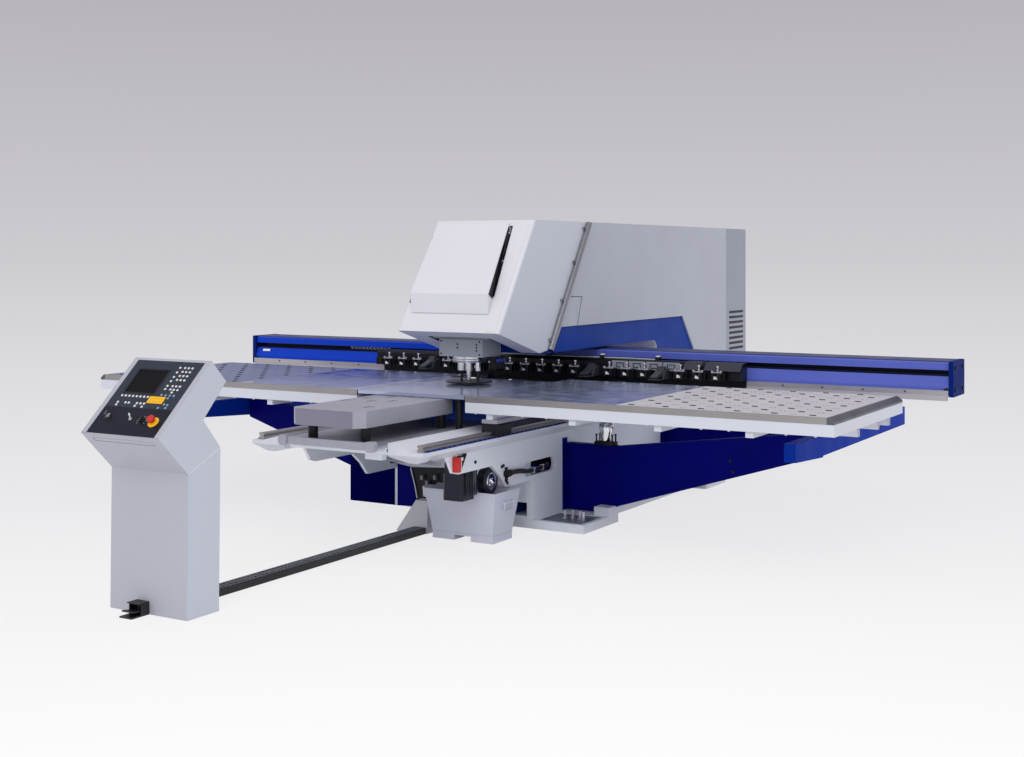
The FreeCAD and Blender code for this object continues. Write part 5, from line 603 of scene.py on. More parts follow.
def makeConsoleDetails(settings):
    slope = math.atan2(settings["rise"], settings["run"])
    axes = np.array([[1, 0, 0], [0, math.cos(slope), math.sin(slope)],
                     [0, -math.sin(slope), math.cos(slope)]])

    # (x, s, n) on the panel in millimetres as a point in the room
    def onPanel(spots, lift=0.0):
        spots = np.atleast_2d(np.array(spots, float))
        local = np.c_[spots[:, 0], spots[:, 1] + settings["start"], np.full(len(spots), lift)]
        return (np.array(settings["foot"]) + local @ axes) / 1000

    def put(name, shape, spots, lift, finish, body, hides=()):
        makePiece(name, stamped(shape, onPanel(spots, lift), axes), finish, body, hides)

    width, length = settings["sheet"][0] / 1000, settings["sheet"][1] / 1000
    middle = settings["sheetFoot"] / 1000 + length / 2
    outline = rounded(width, length, 0.006)
    dx, ds = settings["windowCentre"][0] / 1000, settings["windowCentre"][1] / 1000 - middle
    mouth = rounded(settings["window"][0] / 1000, settings["window"][1] / 1000, 0.004) + (dx, ds)
    tall = settings["sheetHeight"] / 1000
    sheet = lofted(stacked([(outline, 0), (outline, tall), (mouth, tall), (mouth, 0)]), closed=True)
    put("panelSheet", sheet, [(0, middle * 1000)], settings["sheetLift"], "panelSheet", "machine_frame")
    rim = frameOf(*settings["screenRim"], 0.0022, 0.006, 0.0008)
    put("screenFrame", rim, [settings["windowCentre"]], settings["sheetHeight"], "blackPlastic",
        "machine_frame")

    size, lift = settings["keySize"] / 1000, settings["keyLift"]
    cap = slab(size, size, 0.0052, 0.0028, 0.0012)
    first, pitch, count, level = settings["softKeys"]
    soft = np.stack([first + pitch * np.arange(count), np.full(count, level)], -1)
    put("keyCaps", cap, np.concatenate([settings["keys"], soft]), lift, "keyPlastic", "machine_frame",
        ["keys"])
    put("keyCapsBlue", cap, settings["blueKeys"], lift, "keyBlue", "machine_frame")
    x, s, wide, high = settings["plate"]
    put("yellowField", slab(wide / 1000, high / 1000, 0.003, 0.004, 0.001), [(x, s)], settings["plateLift"],
        "signalYellow", "machine_frame")
    reach, rise, count = settings["plateGrid"]
    columns, rows = np.meshgrid(np.linspace(x - reach, x + reach, count), [s - rise, s + rise])
    caps = np.stack([columns, rows], -1).reshape(-1, 2)
    size = settings["plateKey"]
    put("yellowKeys", slab(size, size, 0.004, 0.0026, 0.001), caps, settings["plateKeyLift"],
        "signalYellow", "machine_frame")

    ring = turned([(0.0116, 0.0015), (0.0325, 0.0015), (0.033, 0.003), (0.0325, 0.005), (0.0300, 0.0062),
                   (0.0185, 0.0066), (0.0178, 0.011), (0.0165, 0.012), (0.0116, 0.012)], 32, closed=True)
    put("stopRing", ring, [settings["stop"]], 0.0, "signalYellow", "machine_frame",
        ["estop_ring"])
    crown = turned([(0.0108, 0.0075), (0.0108, 0.019), (0.0205, 0.0215), (0.0226, 0.026), (0.0228, 0.032),
                    (0.0212, 0.038), (0.0175, 0.0425), (0.0110, 0.0455), (0.0030, 0.0465)], 32)
    put("stopCrown", crown, [settings["stop"]], 0.0, "signalRed", "stop_button",
        ["estop_button"])
    bezel = turned([(0.0154, 0.0012), (0.0215, 0.0012), (0.0212, 0.004), (0.019, 0.0056), (0.0154, 0.0056)],
                   24, closed=True)
    put("keyBezel", bezel, [settings["keySwitch"]], 0.0, "blackPlastic", "machine_frame")
    collar = turned([(0.0105, 0.0012), (0.0105, 0.004), (0.008, 0.006), (0.0062, 0.006), (0.0058, 0.011),
                     (0.001, 0.011)], 18)
    lever = turned([(0.0032, 0.010), (0.0048, 0.024), (0.0055, 0.030), (0.0045, 0.034), (0.001, 0.0355)], 14)
    lean = np.array([[1, 0, 0], [0, 0.9, -0.42], [0, 0.42, 0.9]])
    put("toggleCollar", collar, [settings["toggle"]], 0.0, "boltZinc", "machine_frame")
    put("toggleLever", (lever[0] @ lean, lever[1]), [settings["toggle"]], 0.0, "signWhite", "machine_frame")
    turns = np.radians(np.linspace(*settings["dialTurns"]))
    centre = np.array(settings["selector"])
    spots = centre + settings["dialReach"] * np.stack([np.cos(turns), np.sin(turns)], -1)
    dash = slab(0.0090, 0.0018, 0.0008, 0.0008, 0.0003)
    marks = []
    for spot, t in zip(spots, turns):
        turn = np.array([[math.cos(t), math.sin(t), 0], [-math.sin(t), math.cos(t), 0], [0, 0, 1]])
        marks.append(stamped(dash, onPanel(spot, settings["dialLift"]), turn @ axes))
    makePiece("selectorMarks", together(*marks), "signWhite", "machine_frame")
    skirt = turned([(0.0175, 0.0012), (0.0215, 0.0012), (0.0210, 0.0034), (0.0175, 0.004)], 24, closed=True)
    put("selectorSkirt", skirt, [settings["selector"]], 0.0, "blackPlastic", "machine_frame")
    # bright strip along the lip, below the sheet
    wide, level, lift = settings["lipStrip"]
    put("lipStrip", slab(wide, 0.0045, 0.003, 0.0014, 0.0008), [(0, level)], lift, "trimAlloy",
        "machine_frame")
    lip, neck = np.array(settings["foot"]), np.array(settings["neck"])
    down = (neck - lip) / np.linalg.norm(neck - lip)
    out = np.array([0.0, down[2], -down[1]])
    place = (lip + down * settings["drawerDrop"] + out * settings["drawerDepth"]) / 1000
    drawer = slab(settings["drawer"][0] / 1000, settings["drawer"][1] / 1000, 0.006, 0.002, 0.001)
    makePiece("drawerFront", stamped(drawer, [place], facing(out)), "consolePaint", "machine_frame")
    seam = np.array(settings["sideSeam"]) / 1000
    makePiece("consoleSeam", piped(seam, settings["seamRadius"]), "signWhite", "machine_frame")


makeConsoleDetails(consoleSettings)
print("console detailed")


# front of the lower frame: switch on the nose, hose fittings, bolts, motor ribs and pulley hub
# boxes on the side plate are (y, z, width, height, depth)
noseSettings = dict(
    plate=0.592, redBox=(-1.1175, 0.582, 0.041, 0.096, 0.044),
    whiteStrip=(-1.0885, 0.582, 0.015, 0.090, 0.038), hoseFoot=(-0.465, 0.431, 0.03, 0.10, 0.008),
    bracket=((-1.080, 0.640), (-1.080, 0.548), (-1.052, 0.548), (-0.992, 0.640)), bracketDepth=0.02,
    bracketHole=(-1.052, 0.612), holeOut=0.0215, clips=(-1.12, 0.026, 3), clipPlace=(0.652, 0.02),
    gland=(0.613, -0.44, 0.441), couplings=((0.614, -0.0044, 0.424), (0.6145, -0.1338, 0.4195)),
    couplingLean=(0.015, -1, -0.035),
    plateBolts=((-0.863, 0.567), (-0.525, 0.492), (-0.503, 0.497), (-0.452, 0.372)),
    motorFace=0.567, motorRibs=(-0.93, -0.81, 7), motorFoot=0.34, motorTop=0.57, ribLift=0.003,
    motorCover=(0.4785, -0.9535, 0.457), coverSize=(0.13, 0.23, 0.008), pulley=(0.567, -0.620, 0.405),
    holeReach=0.041, holeLift=0.0055)


def makeNoseDetails(settings):
    face = settings["plate"]

    # across Y and up Z on the right side plate, out along X
    def onPlate(y, z, out):
        return (face + out, y, z)

    y, z, wide, high, deep = settings["redBox"]
    red = stamped(slab(wide, high, deep, 0.004, 0.002), [onPlate(y, z, deep / 2)], outRight)
    y, z, wide, high, deep = settings["hoseFoot"]
    foot = stamped(slab(wide, high, deep, 0.002, 0.001), [onPlate(y, z, deep / 2)], outRight)
    makePiece("switchBox", red, "signalRed", "machine_frame", ["nose_fittings"])
    makePiece("hoseFoot", foot, "boltBlack", "machine_frame")
    y, z, wide, high, deep = settings["whiteStrip"]
    strip = stamped(slab(wide, high, deep, 0.003, 0.0012), [onPlate(y, z, deep / 2)], outRight)
    makePiece("switchStrip", strip, "signWhite", "machine_frame")
    deep = settings["bracketDepth"]
    block = stamped(prism(settings["bracket"], deep), [onPlate(0, 0, deep / 2)], outRight)
    makePiece("switchBracket", block, "boltBlack", "machine_frame")
    y, z = settings["bracketHole"]
    window = stamped(slab(0.022, 0.020, 0.004, 0.003, 0.001), [onPlate(y, z, settings["holeOut"])], outRight)
    makePiece("bracketWindow", window, "signWhite", "machine_frame")
    first, pitch, count = settings["clips"]
    places = [onPlate(first + pitch * k, *settings["clipPlace"]) for k in range(count)]
    clips = stamped(slab(0.012, 0.03, 0.012, 0.003, 0.001), places, outRight)
    makePiece("switchClips", clips, "boltZinc", "machine_frame")

    gland = turned([(0.018, 0), (0.0235, 0.0), (0.0245, 0.004), (0.0245, 0.02), (0.0215, 0.023),
                    (0.0215, 0.034), (0.027, 0.036), (0.027, 0.052), (0.024, 0.058), (0.018, 0.060)], 20)
    makePiece("hoseGland", stamped(gland, [settings["gland"]], outFront), "boltBlack", "machine_frame")
    band = turned([(0.0172, -0.012), (0.0215, -0.012), (0.0225, -0.008), (0.0205, 0.0), (0.0225, 0.008),
                   (0.0215, 0.012), (0.0172, 0.012)], 24, closed=True)
    for k, spot in enumerate(settings["couplings"]):
        coupling = stamped(band, [spot], facing(settings["couplingLean"]))
        makePiece("hoseCoupling%d" % (k + 1), coupling, "chrome", "machine_frame")
    bolts = [onPlate(y, z, 0.0) for y, z in settings["plateBolts"]]
    makePiece("plateBolts", stamped(hexHead, bolts, outRight), "boltBlack", "machine_frame")

    first, last, count = settings["motorRibs"]
    ribY = np.linspace(first, last, count)
    mid = (settings["motorFoot"] + settings["motorTop"]) / 2
    places = np.stack([0 * ribY + settings["motorFace"] + settings["ribLift"], ribY, 0 * ribY + mid], -1)
    rib = slab(0.006, settings["motorTop"] - settings["motorFoot"], 0.008, 0.0025, 0.0012)
    makePiece("motorRibs", stamped(rib, places, outRight), "driveBlack", "machine_frame")
    front = slab(*settings["coverSize"], 0.012, 0.003)
    makePiece("motorCover", stamped(front, [settings["motorCover"]], outFront), "driveBlack", "machine_frame")
    hub = turned([(0.057, -0.001), (0.058, 0.003), (0.052, 0.0075), (0.030, 0.006), (0.024, 0.007),
                  (0.023, 0.016), (0.017, 0.0185), (0.003, 0.0185)], 28)
    a = np.arange(6) * np.pi / 3
    spots = settings["holeReach"] * np.stack([np.cos(a), np.sin(a)], -1)
    centre = np.array(settings["pulley"])
    dots = centre + np.c_[np.full(len(a), settings["holeLift"]), spots]
    makePiece("pulleyHub", stamped(hub, [centre], outRight), "chrome", "machine_frame")
    makePiece("pulleyHoles", stamped(smallHead, dots, outRight), "boltBlack", "machine_frame")


makeNoseDetails(noseSettings)
print("nose and drive detailed")


# bolts of the outriggers and side beams, rims and handles of the bin, filter bowl, jacks of the base plates
frameSettings = dict(
    flangeX=0.604, flangeY=0.372, flangeZ=(0.475, 0.443, 0.205, 0.168), webY=0.400,
    webBolts=((1.88, 0.51), (1.90, 0.437)),
    beamStrip=(0.668, -0.640, 0.717, 1.82), stripSize=(0.018, 0.004), beamBolts=(-1.52, 0.24, 0.060),
    boltLift=0.002, binCentre=(0.393, -0.5805), binTop=((0.576, 0.337), (0.560, 0.321), 0.333),
    binFoot=((0.489, 0.258), (0.476, 0.245), 0.050),
    handle=dict(x=0.6865, top=0.268, foot=0.222, half=0.060, bend=0.012, radius=0.004),
    filter=(0.900, 0.4425), flange=(0.160, 0.085, 0.026), flangeLevel=0.562, pins=(0.064, 0.028, 0.574),
    jacks=((0.755, 0.085, 0), (0.800, 0.115, 0), (0.860, 0.110, 0), (0.905, 0.075, 0)))


def makeFrameDetails(settings):
    z = np.array(settings["flangeZ"])
    places = np.stack([0 * z + settings["flangeX"], 0 * z + settings["flangeY"], z], -1)
    right = stamped(hexHead, places, outRight)
    left = stamped(hexHead, places * (-1, 1, 1), outLeft)
    makePiece("flangeBolts", together(right, left), "boltBlack", "machine_frame")
    web = np.array([(x, settings["webY"], z) for x, z in settings["webBolts"]])
    makePiece("webBolts", stamped(hexHead, bothSides(web), outFront), "boltBlack", "machine_frame")
    x, y, z, length = settings["beamStrip"]
    wide, tall = settings["stripSize"]
    strip = slab(wide, length, tall, 0.002, 0.001)
    makePiece("beamStrips", stamped(strip, bothSides([(x, y, z)])), "beamBlue", "machine_frame")
    y = np.arange(*settings["beamBolts"])
    places = np.stack([0 * y + x, y, 0 * y + z + settings["boltLift"]], -1)
    makePiece("stripBolts", stamped(smallHead, bothSides(places)), "boltBlack", "machine_frame")

    x, y = settings["binCentre"]
    outer, inner, level = settings["binTop"]
    rim = stamped(frameOf(outer, inner, 0.010, 0.006, 0.002), [(x, y, level)])
    outer, inner, level = settings["binFoot"]
    foot = stamped(frameOf(outer, inner, 0.004, 0.004, 0.0012), [(x, y, level)])
    makePiece("binRims", together(rim, foot), "binPaint", "machine_frame")
    a = np.linspace(0, np.pi / 2, 5)
    grip = settings["handle"]
    top, half, radius = grip["top"], grip["half"], grip["bend"]
    bend = np.stack([np.cos(a), np.sin(a)], -1) * radius
    drop, reach = grip["foot"] + radius - bend[:, 1], radius - bend[:, 0]
    wire = np.concatenate([[(top, -half)], np.c_[drop, -half + reach], np.c_[drop, half - reach][::-1],
                           [(top, half)]])
    path = np.c_[grip["x"] + 0 * wire[:, 0], y + wire[:, 1], wire[:, 0]]
    handle = piped(path, grip["radius"])
    other = stamped(mirrored(handle), [(2 * x, 0, 0)])
    makePiece("binHandles", together(handle, other), "boltZinc", "machine_frame")

    x, y = settings["filter"]
    bowl = turned([(0.026, 0.576), (0.031, 0.580), (0.036, 0.60), (0.046, 0.632), (0.051, 0.66),
                   (0.052, 0.69), (0.046, 0.705), (0.034, 0.714), (0.004, 0.715)], 32)
    makePiece("filterBowl", stamped(bowl, [(x, y, 0)]), "chrome", "machine_frame",
              ["filter_unit"])
    flange = stamped(slab(*settings["flange"], 0.012, 0.003), [(x, y, settings["flangeLevel"])])
    pin = turned([(0.006, 0), (0.006, 0.045), (0.009, 0.047), (0.009, 0.055), (0.002, 0.057)], 8)
    wide, deep, level = settings["pins"]
    pins = stamped(pin, [(x + dx, y + dy, level) for dx in (-wide, wide) for dy in (-deep, deep)])
    makePiece("filterFlange", together(flange, pins), "boltBlack", "machine_frame")
    jack = turned([(0.018, 0.053), (0.020, 0.055), (0.020, 0.066), (0.011, 0.068), (0.0105, 0.108),
                   (0.0125, 0.110), (0.0125, 0.118), (0.003, 0.120)], 12)
    makePiece("baseJacks", stamped(jack, settings["jacks"]), "boltZinc", "machine_frame")


makeFrameDetails(frameSettings)
print("frame detailed")


# front of the lower frame, left of the motor: blue cover, dark cover that is in part painted shade, with a
# cup, a pipe and boxes; the bar under the right guide beam; the covers' outlines and the boxes are (x, z) on
# the frame's front face
underSettings = dict(
    face=-0.100, blue=((-0.566, 0.062), (-0.443, 0.066), (-0.383, 0.130), (-0.443, 0.356), (-0.566, 0.372)),
    dark=((-0.443, 0.066), (-0.190, 0.062), (-0.141, 0.160), (-0.141, 0.372), (-0.443, 0.356),
          (-0.383, 0.130)),
    cup=(-0.235, -0.166, 0.165), edgePipe=((-0.440, -0.114, 0.352), (-0.400, -0.114, 0.220),
                                           (-0.381, -0.114, 0.132)),
    coverDepth=0.006, coverLift=0.0025, pipeRadius=0.005, bar=(0.455, -1.415, 0.6300),
    barSize=(0.46, 0.024, 0.020), boxSize=(0.026, 0.034, 0.034), boxLift=0.020,
    boxes=((-0.330, 0.290), (-0.285, 0.255), (-0.215, 0.300), (-0.180, 0.250)))


def makeUnderDetails(settings):
    y = settings["face"] - settings["coverLift"]
    # the dark cover is in part a housing and in part painted shade
    for name, key, finish, slot in (("frontCoverBlue", "blue", "deepBlue", "deep_blue"),
                                    ("frontDarkCoverAndShade", "dark", "boltBlack", "black_metal")):
        cover = stamped(prism(settings[key], settings["coverDepth"]), [(0, y, 0)], outFront)
        makePiece(name, cover, finish, "machine_frame")
    cup = turned([(0.040, 0.0), (0.048, 0.004), (0.052, 0.05), (0.054, 0.072), (0.050, 0.078), (0.044, 0.074),
                  (0.040, 0.03), (0.004, 0.028)], 24)
    makePiece("frontCup", stamped(cup, [settings["cup"]]), "signWhite", "machine_frame")
    makePiece("coverPipe", piped(settings["edgePipe"], settings["pipeRadius"]), "boltZinc", "machine_frame")
    spots = [(x, settings["face"] - settings["boxLift"], z) for x, z in settings["boxes"]]
    makePiece("coverBoxes", stamped(slab(*settings["boxSize"], 0.004, 0.002), spots, outFront), "latticeGrey",
              "machine_frame")
    makePiece("beamBar", stamped(slab(*settings["barSize"], 0.004, 0.002), [settings["bar"]]), "latticeGrey",
              "machine_frame")


makeUnderDetails(underSettings)


# tool magazine: turned stems, cross bars, feet, back plates with windows, and pale sleeves on the connectors
magazineSettings = dict(pitch=0.150, reach=10, clamps=(-7, 3, 7), y=1.100, foot=0.996, plates=(0.60, 1.18, 4),
                        connectors=(-0.96, -0.48, 0.0, 0.48, 0.96), connectorY=1.21985, connectorTop=1.143,
                        sleeve=(0.030, 0.030, 0.010), sleeveLift=0.004, bar=(0.080, 0.010, 0.009),
                        barPlace=(0, 1.078, 1.0545), ear=(0.016, 0.022, 0.018),
                        earPlace=(0.034, 1.080, 1.059), footPlace=(0, 1.0625, 1.005),
                        rib=(0.008, 0.060, 0.046), ribPlace=(0.0615, 1.100, 1.026),
                        bolts=(-0.042, -0.022, 0.022, 0.042), boltPlace=(1.118, 1.050),
                        plateSize=(0.064, 0.005), plateGap=0.008, platePlace=(1.1375, 1.078),
                        windowSize=((0.066, 0.036), (0.056, 0.026)), windowLift=0.0025,
                        guard=(3.336, 0.082, 0.003), guardPlace=(0, 1.2565, 0.9490))


def makeMagazineDetails(settings):
    stations = np.array([k for k in range(-settings["reach"], settings["reach"] + 1)
                         if k not in settings["clamps"]])
    x = settings["pitch"] * stations
    flat = np.stack([x, 0 * x, 0 * x], -1)
    foot = settings["foot"]
    stem = turned([(0.0075, 0), (0.0118, 0.002), (0.0120, 0.030), (0.0098, 0.034), (0.0098, 0.052),
                   (0.0120, 0.056), (0.0120, 0.070), (0.0060, 0.074), (0.0055, 0.086), (0.0105, 0.089),
                   (0.0112, 0.096), (0.0105, 0.106), (0.0030, 0.108)], 14)
    makePiece("toolStems", stamped(stem, flat + (0, settings["y"], foot)), "chrome", "tool_carriage",
              ["tools"])
    bar = stamped(slab(*settings["bar"], 0.003, 0.0015), flat + settings["barPlace"])
    ear = slab(*settings["ear"], 0.004, 0.002)
    dx, y, z = settings["earPlace"]
    bars = together(bar, stamped(ear, flat + (-dx, y, z)), stamped(ear, flat + (dx, y, z)))
    makePiece("toolBars", bars, "boltZinc", "tool_carriage")
    wedge = prism([(-0.016, 0), (0.013, 0), (0.013, 0.006), (-0.004, 0.021), (-0.016, 0.021)], 0.008)
    feet = stamped(wedge, flat + settings["footPlace"], outFront)
    makePiece("toolFeet", feet, "signWhite", "tool_carriage")
    rib = slab(*settings["rib"], 0.002, 0.001)
    dx, y, z = settings["ribPlace"]
    ribs = together(stamped(rib, flat + (-dx, y, z)), stamped(rib, flat + (dx, y, z)))
    bolts = together(*[stamped(smallHead, flat + (dx, *settings["boltPlace"])) for dx in settings["bolts"]])
    makePiece("cassetteRibs", together(ribs, bolts), "boltBlack", "tool_carriage")
    first, last, count = settings["plates"]
    wide = (last - first) / count
    centre = first + wide * (np.arange(count) + 0.5)
    y, z = settings["platePlace"]
    places = np.stack([centre, 0 * centre + y, 0 * centre + z], -1)
    plates = stamped(slab(wide - settings["plateGap"], *settings["plateSize"], 0.004, 0.001), places,
                     outFront)
    makePiece("backPlates", plates, "castingGrey", "tool_carriage")
    window = frameOf(*settings["windowSize"], 0.004, 0.004, 0.001)
    makePiece("plateWindows", stamped(window, places - (0, settings["windowLift"], 0), outFront),
              "boltBlack", "tool_carriage")
    x = np.array(settings["connectors"])
    level = settings["connectorTop"] + settings["sleeveLift"]
    tops = np.stack([x, 0 * x + settings["connectorY"], 0 * x + level], -1)
    sleeve = slab(*settings["sleeve"], 0.004, 0.002)
    makePiece("connectorCaps", stamped(sleeve, tops), "signWhite", "tool_carriage")
    # a dark strip of painted shade between the table and the carriage
    guard = stamped(slab(*settings["guard"], 0.004, 0.001), [settings["guardPlace"]], outFront)
    makePiece("carriageShadeStrip", guard, "boltBlack", "tool_carriage")


makeMagazineDetails(magazineSettings)
print("magazine detailed")


# punching head: front screws, hanging housing with blue plugs, collar on the rotor
headSettings = dict(front=-0.120, screws=((-0.023, 1.284), (-0.023, 1.258), (0.140, 1.284), (0.140, 1.262),
                                          (0.140, 1.240), (-0.165, 1.305), (0.165, 1.305), (-0.165, 1.212),
                                          (0.165, 1.212)),
                    housing=(0.214, 0.050, 1.148), housingSize=(0.044, 0.150, 0.088),
                    plugSize=(0.016, 0.030, 0.026), plugPlace=(0.028, -0.045, 0.018), plugPitch=0.042,
                    plugs=3)


def makeHeadDetails(settings):
    places = [(x, settings["front"], z) for x, z in settings["screws"]]
    makePiece("headScrews", stamped(smallHead, places, outFront), "boltBlack", "machine_frame")
    x, y, z = settings["housing"]
    box = stamped(slab(*settings["housingSize"], 0.006, 0.002), [(x, y, z)])
    makePiece("headHousing", box, "boltBlack", "machine_frame")
    dx, dy, dz = settings["plugPlace"]
    places = [(x + dx, y + dy + settings["plugPitch"] * k, z + dz) for k in range(settings["plugs"])]
    plugs = stamped(slab(*settings["plugSize"], 0.004, 0.002), places)
    makePiece("headPlugs", plugs, "plugBlue", "machine_frame")
    collar = turned([(0.1172, 1.150), (0.1215, 1.151), (0.1225, 1.156), (0.1190, 1.160), (0.1225, 1.164),
                     (0.1225, 1.172), (0.1195, 1.176), (0.1172, 1.176)], 48, closed=True)
    makePiece("rotorCollar", collar, "brightSteel", "rotor")


makeHeadDetails(headSettings)


# hood: lid with its folded foot, a dark strip of painted shade on the lid's right side wall, face plate, a
# dark strip of painted shade in the slot with its catches, seam tubes, door seam; slabs of painted shade in
# the louvre slots of the rear cabinet; pale arc behind the throat
# x across, s up the slanted front, n out of it
hoodSettings = dict(foot=(0.0, -0.300, 1.380), rise=(0.0, 0.53654, 0.84388), left=-0.396,
                    leftSteps=(0.042, 0.012), right=(0.300, 0.235),
                    levels=(0.152, 0.280, 0.926), rim=(0.008, 0.068, 0.018), lidFoot=0.003, lidEdge=0.004,
                    lidDraw=0.991, sideShadeThickness=0.004, plateRight=0.402, plateGap=0.028, plateEnds=(0.012, 0.948),
                    slot=(0.300, 0.905), slotGaps=(0.006, 0.014, 0.028),
                    catches=(0.60, 0.842, 0.862, 0.882), catchPlace=(0.016, 0.004),
                    seamX=0.4302, seamRadius=0.0022, seam=((0.712, 1.616), (0.961, 1.610), (0.884, 1.389)),
                    louvreX=0.4278, louvreY=4.203, louvreTop=1.383, louvrePitch=0.050, louvres=8,
                    louvre=(0.364, 0.0225, 0.0014),
                    arc=(2.320, 1.120, 0.0795), arcWall=0.004, arcWidth=0.80, arcX=0.010, tubeRadius=0.0245,
                    tube=((0.4495, 0.4244, 1.221), (0.4495, 1.0495, 2.180)))


def makeHoodDetails(settings):
    up = np.array(settings["rise"])
    axes = np.array([[1, 0, 0], up, [0, -up[2], up[1]]])
    foot, fold, top = settings["levels"]
    left = settings["left"]

    def right(s):
        return np.interp(s, [foot, top], settings["right"])

    def onHood(points):
        return np.array(settings["foot"]) + np.array(points, float) @ axes

    footIn, foldIn = settings["leftSteps"]
    outline = np.array([(left + footIn, foot), (right(foot), foot), (right(fold), fold), (right(top), top),
                        (left, top), (left + foldIn, fold)])
    low, mid, high = settings["rim"]
    rim = np.array([low, low, mid, high, high, mid])
    centre = outline.mean(0)
    inner = centre + (outline - centre) * settings["lidDraw"]
    under = np.full(len(outline), settings["lidFoot"])
    rings = np.array([np.c_[outline, under], np.c_[outline, rim - settings["lidEdge"]], np.c_[inner, rim]])
    points, faces = lofted(rings)
    # the top is folded along the line from corner 2 to corner 5 of the last ring
    faces = faces[:-1] + [(12, 13, 14, 17), (14, 15, 16, 17)]
    makePiece("hoodLid", (onHood(points), faces), "lidPaint", "lid", ["head_lid"], 12.0)
    # a dark strip of painted shade on the lid's right side wall
    edge = [(right(fold) + 0.001, fold + 0.004, 0.003), (right(top) + 0.001, top - 0.03, 0.003),
            (right(top) + 0.001, top - 0.03, high - 0.004), (right(fold) + 0.001, fold + 0.004, mid - 0.006)]
    strip = lofted(np.array([np.array(edge)[::-1], (np.array(edge) + (settings["sideShadeThickness"], 0, 0))[::-1]]))
    makePiece("lidSideShade", (onHood(strip[0]), strip[1]), "boltBlack", "lid")

    low, high = settings["plateEnds"]
    wide = settings["plateRight"]
    gap = settings["plateGap"]
    face = np.array([(right(low) + gap, low), (wide, low), (wide, high), (right(high) + gap, high)])
    drawn = face.mean(0) + (face - face.mean(0)) * (0.99, 0.998)
    plate = lofted(stacked([(face, -0.001), (face, 0.002), (drawn, 0.003)]))
    makePiece("hoodPlate", (onHood(plate[0]), plate[1]), "lidPaint", "machine_frame")
    # a dark strip of painted shade in the slot between the lid and the face plate
    low, high = settings["slot"]
    near, lowGap, highGap = settings["slotGaps"]
    dark = np.array([(right(low) + near, low), (right(low) + lowGap, low), (right(high) + highGap, high),
                     (right(high) + near, high)])
    slotShade = lofted(stacked([(dark, 0.0005), (dark, 0.0045)]))
    makePiece("hoodSlotShade", (onHood(slotShade[0]), slotShade[1]), "boltBlack", "machine_frame")
    start, end = np.array(settings["tube"])
    tube = piped(np.linspace(start, end, 3), settings["tubeRadius"], 24)
    makePiece("seamTubes", together(tube, mirrored(tube)), "tubeSteel", "machine_frame")
    dx, lift = settings["catchPlace"]
    bits = onHood([(right(s) + dx, s, lift) for s in settings["catches"]])
    makePiece("slotCatches", stamped(smallHead, bits, axes), "boltZinc", "machine_frame")
    seam = np.array([(settings["seamX"], y, z) for y, z in settings["seam"]])
    sections = [piped(seam[k:k + 2], settings["seamRadius"], 6) for k in range(2)]
    makePiece("doorSeam", together(*sections), "boltBlack", "machine_frame")

    # slabs of painted shade in the louvre slots of the rear cabinet
    level = settings["louvreTop"] - settings["louvrePitch"] * np.arange(settings["louvres"])
    places = np.stack([0 * level + settings["louvreX"], 0 * level + settings["louvreY"], level], -1)
    shade = slab(*settings["louvre"], 0.002, 0.0004)
    shades = stamped(shade, bothSides(places), outRight)
    makePiece("louvrePaintedShade", shades, "boltBlack", "machine_frame")
    y, z, radius = settings["arc"]
    a = np.linspace(-0.9, np.pi / 2, 14)
    ring = np.stack([np.cos(a), np.sin(a)], -1)
    band = np.concatenate([(y, z) + radius * ring, ((y, z) + (radius - settings["arcWall"]) * ring)[::-1]])
    cover = prism(band, settings["arcWidth"])
    makePiece("throatCover", stamped(cover, [(settings["arcX"], 0, 0)], outRight), "signWhite",
              "machine_frame")


makeHoodDetails(hoodSettings)


# floor duct: two rows of pressed links along its top
ductSettings = dict(first=-2.930, last=-0.660, pitch=0.034, rows=(-0.023, 0.023), lean=0.3, top=0.043,
                    link=((0.044, 0.029), (0.034, 0.019), 0.0022))


def makeDuctLattice(settings):
    y = np.arange(settings["first"], settings["last"], settings["pitch"])
    places = np.concatenate([np.stack([0 * y + x, y + settings["lean"] * x, 0 * y + settings["top"]], -1)
                             for x in settings["rows"]])
    link = frameOf(*settings["link"], 0.008, 0.0007, 0.006)
    makePiece("ductLattice", stamped(link, places), "latticeGrey", "machine_frame")


makeDuctLattice(ductSettings)


# cross rail: bolts of its ends, foot and screws of its strip, chain and plate; grip of the rear door
railSettings = dict(capX=3.183, capY=(1.335, 1.545), capZ=(0.985, 1.140), stripY=1.260, stripZ=0.967,
                    strip=(-2.85, 2.90, 0.30), gripX=0.355, gripY=4.456, gripZ=(1.06, 1.26),
                    gripReach=0.036, gripBend=0.02, gripSlant=0.27, gripRadius=0.0055,
                    chain=(-2.09, -1.68, 0.040), chainY=1.3568, link=(0.036, 0.008, 0.005),
                    linkRows=((1.112, 0.55), (1.106, -0.55)), foot=(6.290, 0.024, 0.037),
                    footPlace=(0, 1.272, 0.9305), stop=(0.028, 0.022, 0.014),
                    stopPlace=(3.134, 1.272, 0.991), plate=(0.085, 0.022, 0.003),
                    platePlace=(-3.035, 1.300, 1.058), plateOut=(0, -0.91, 0.41))


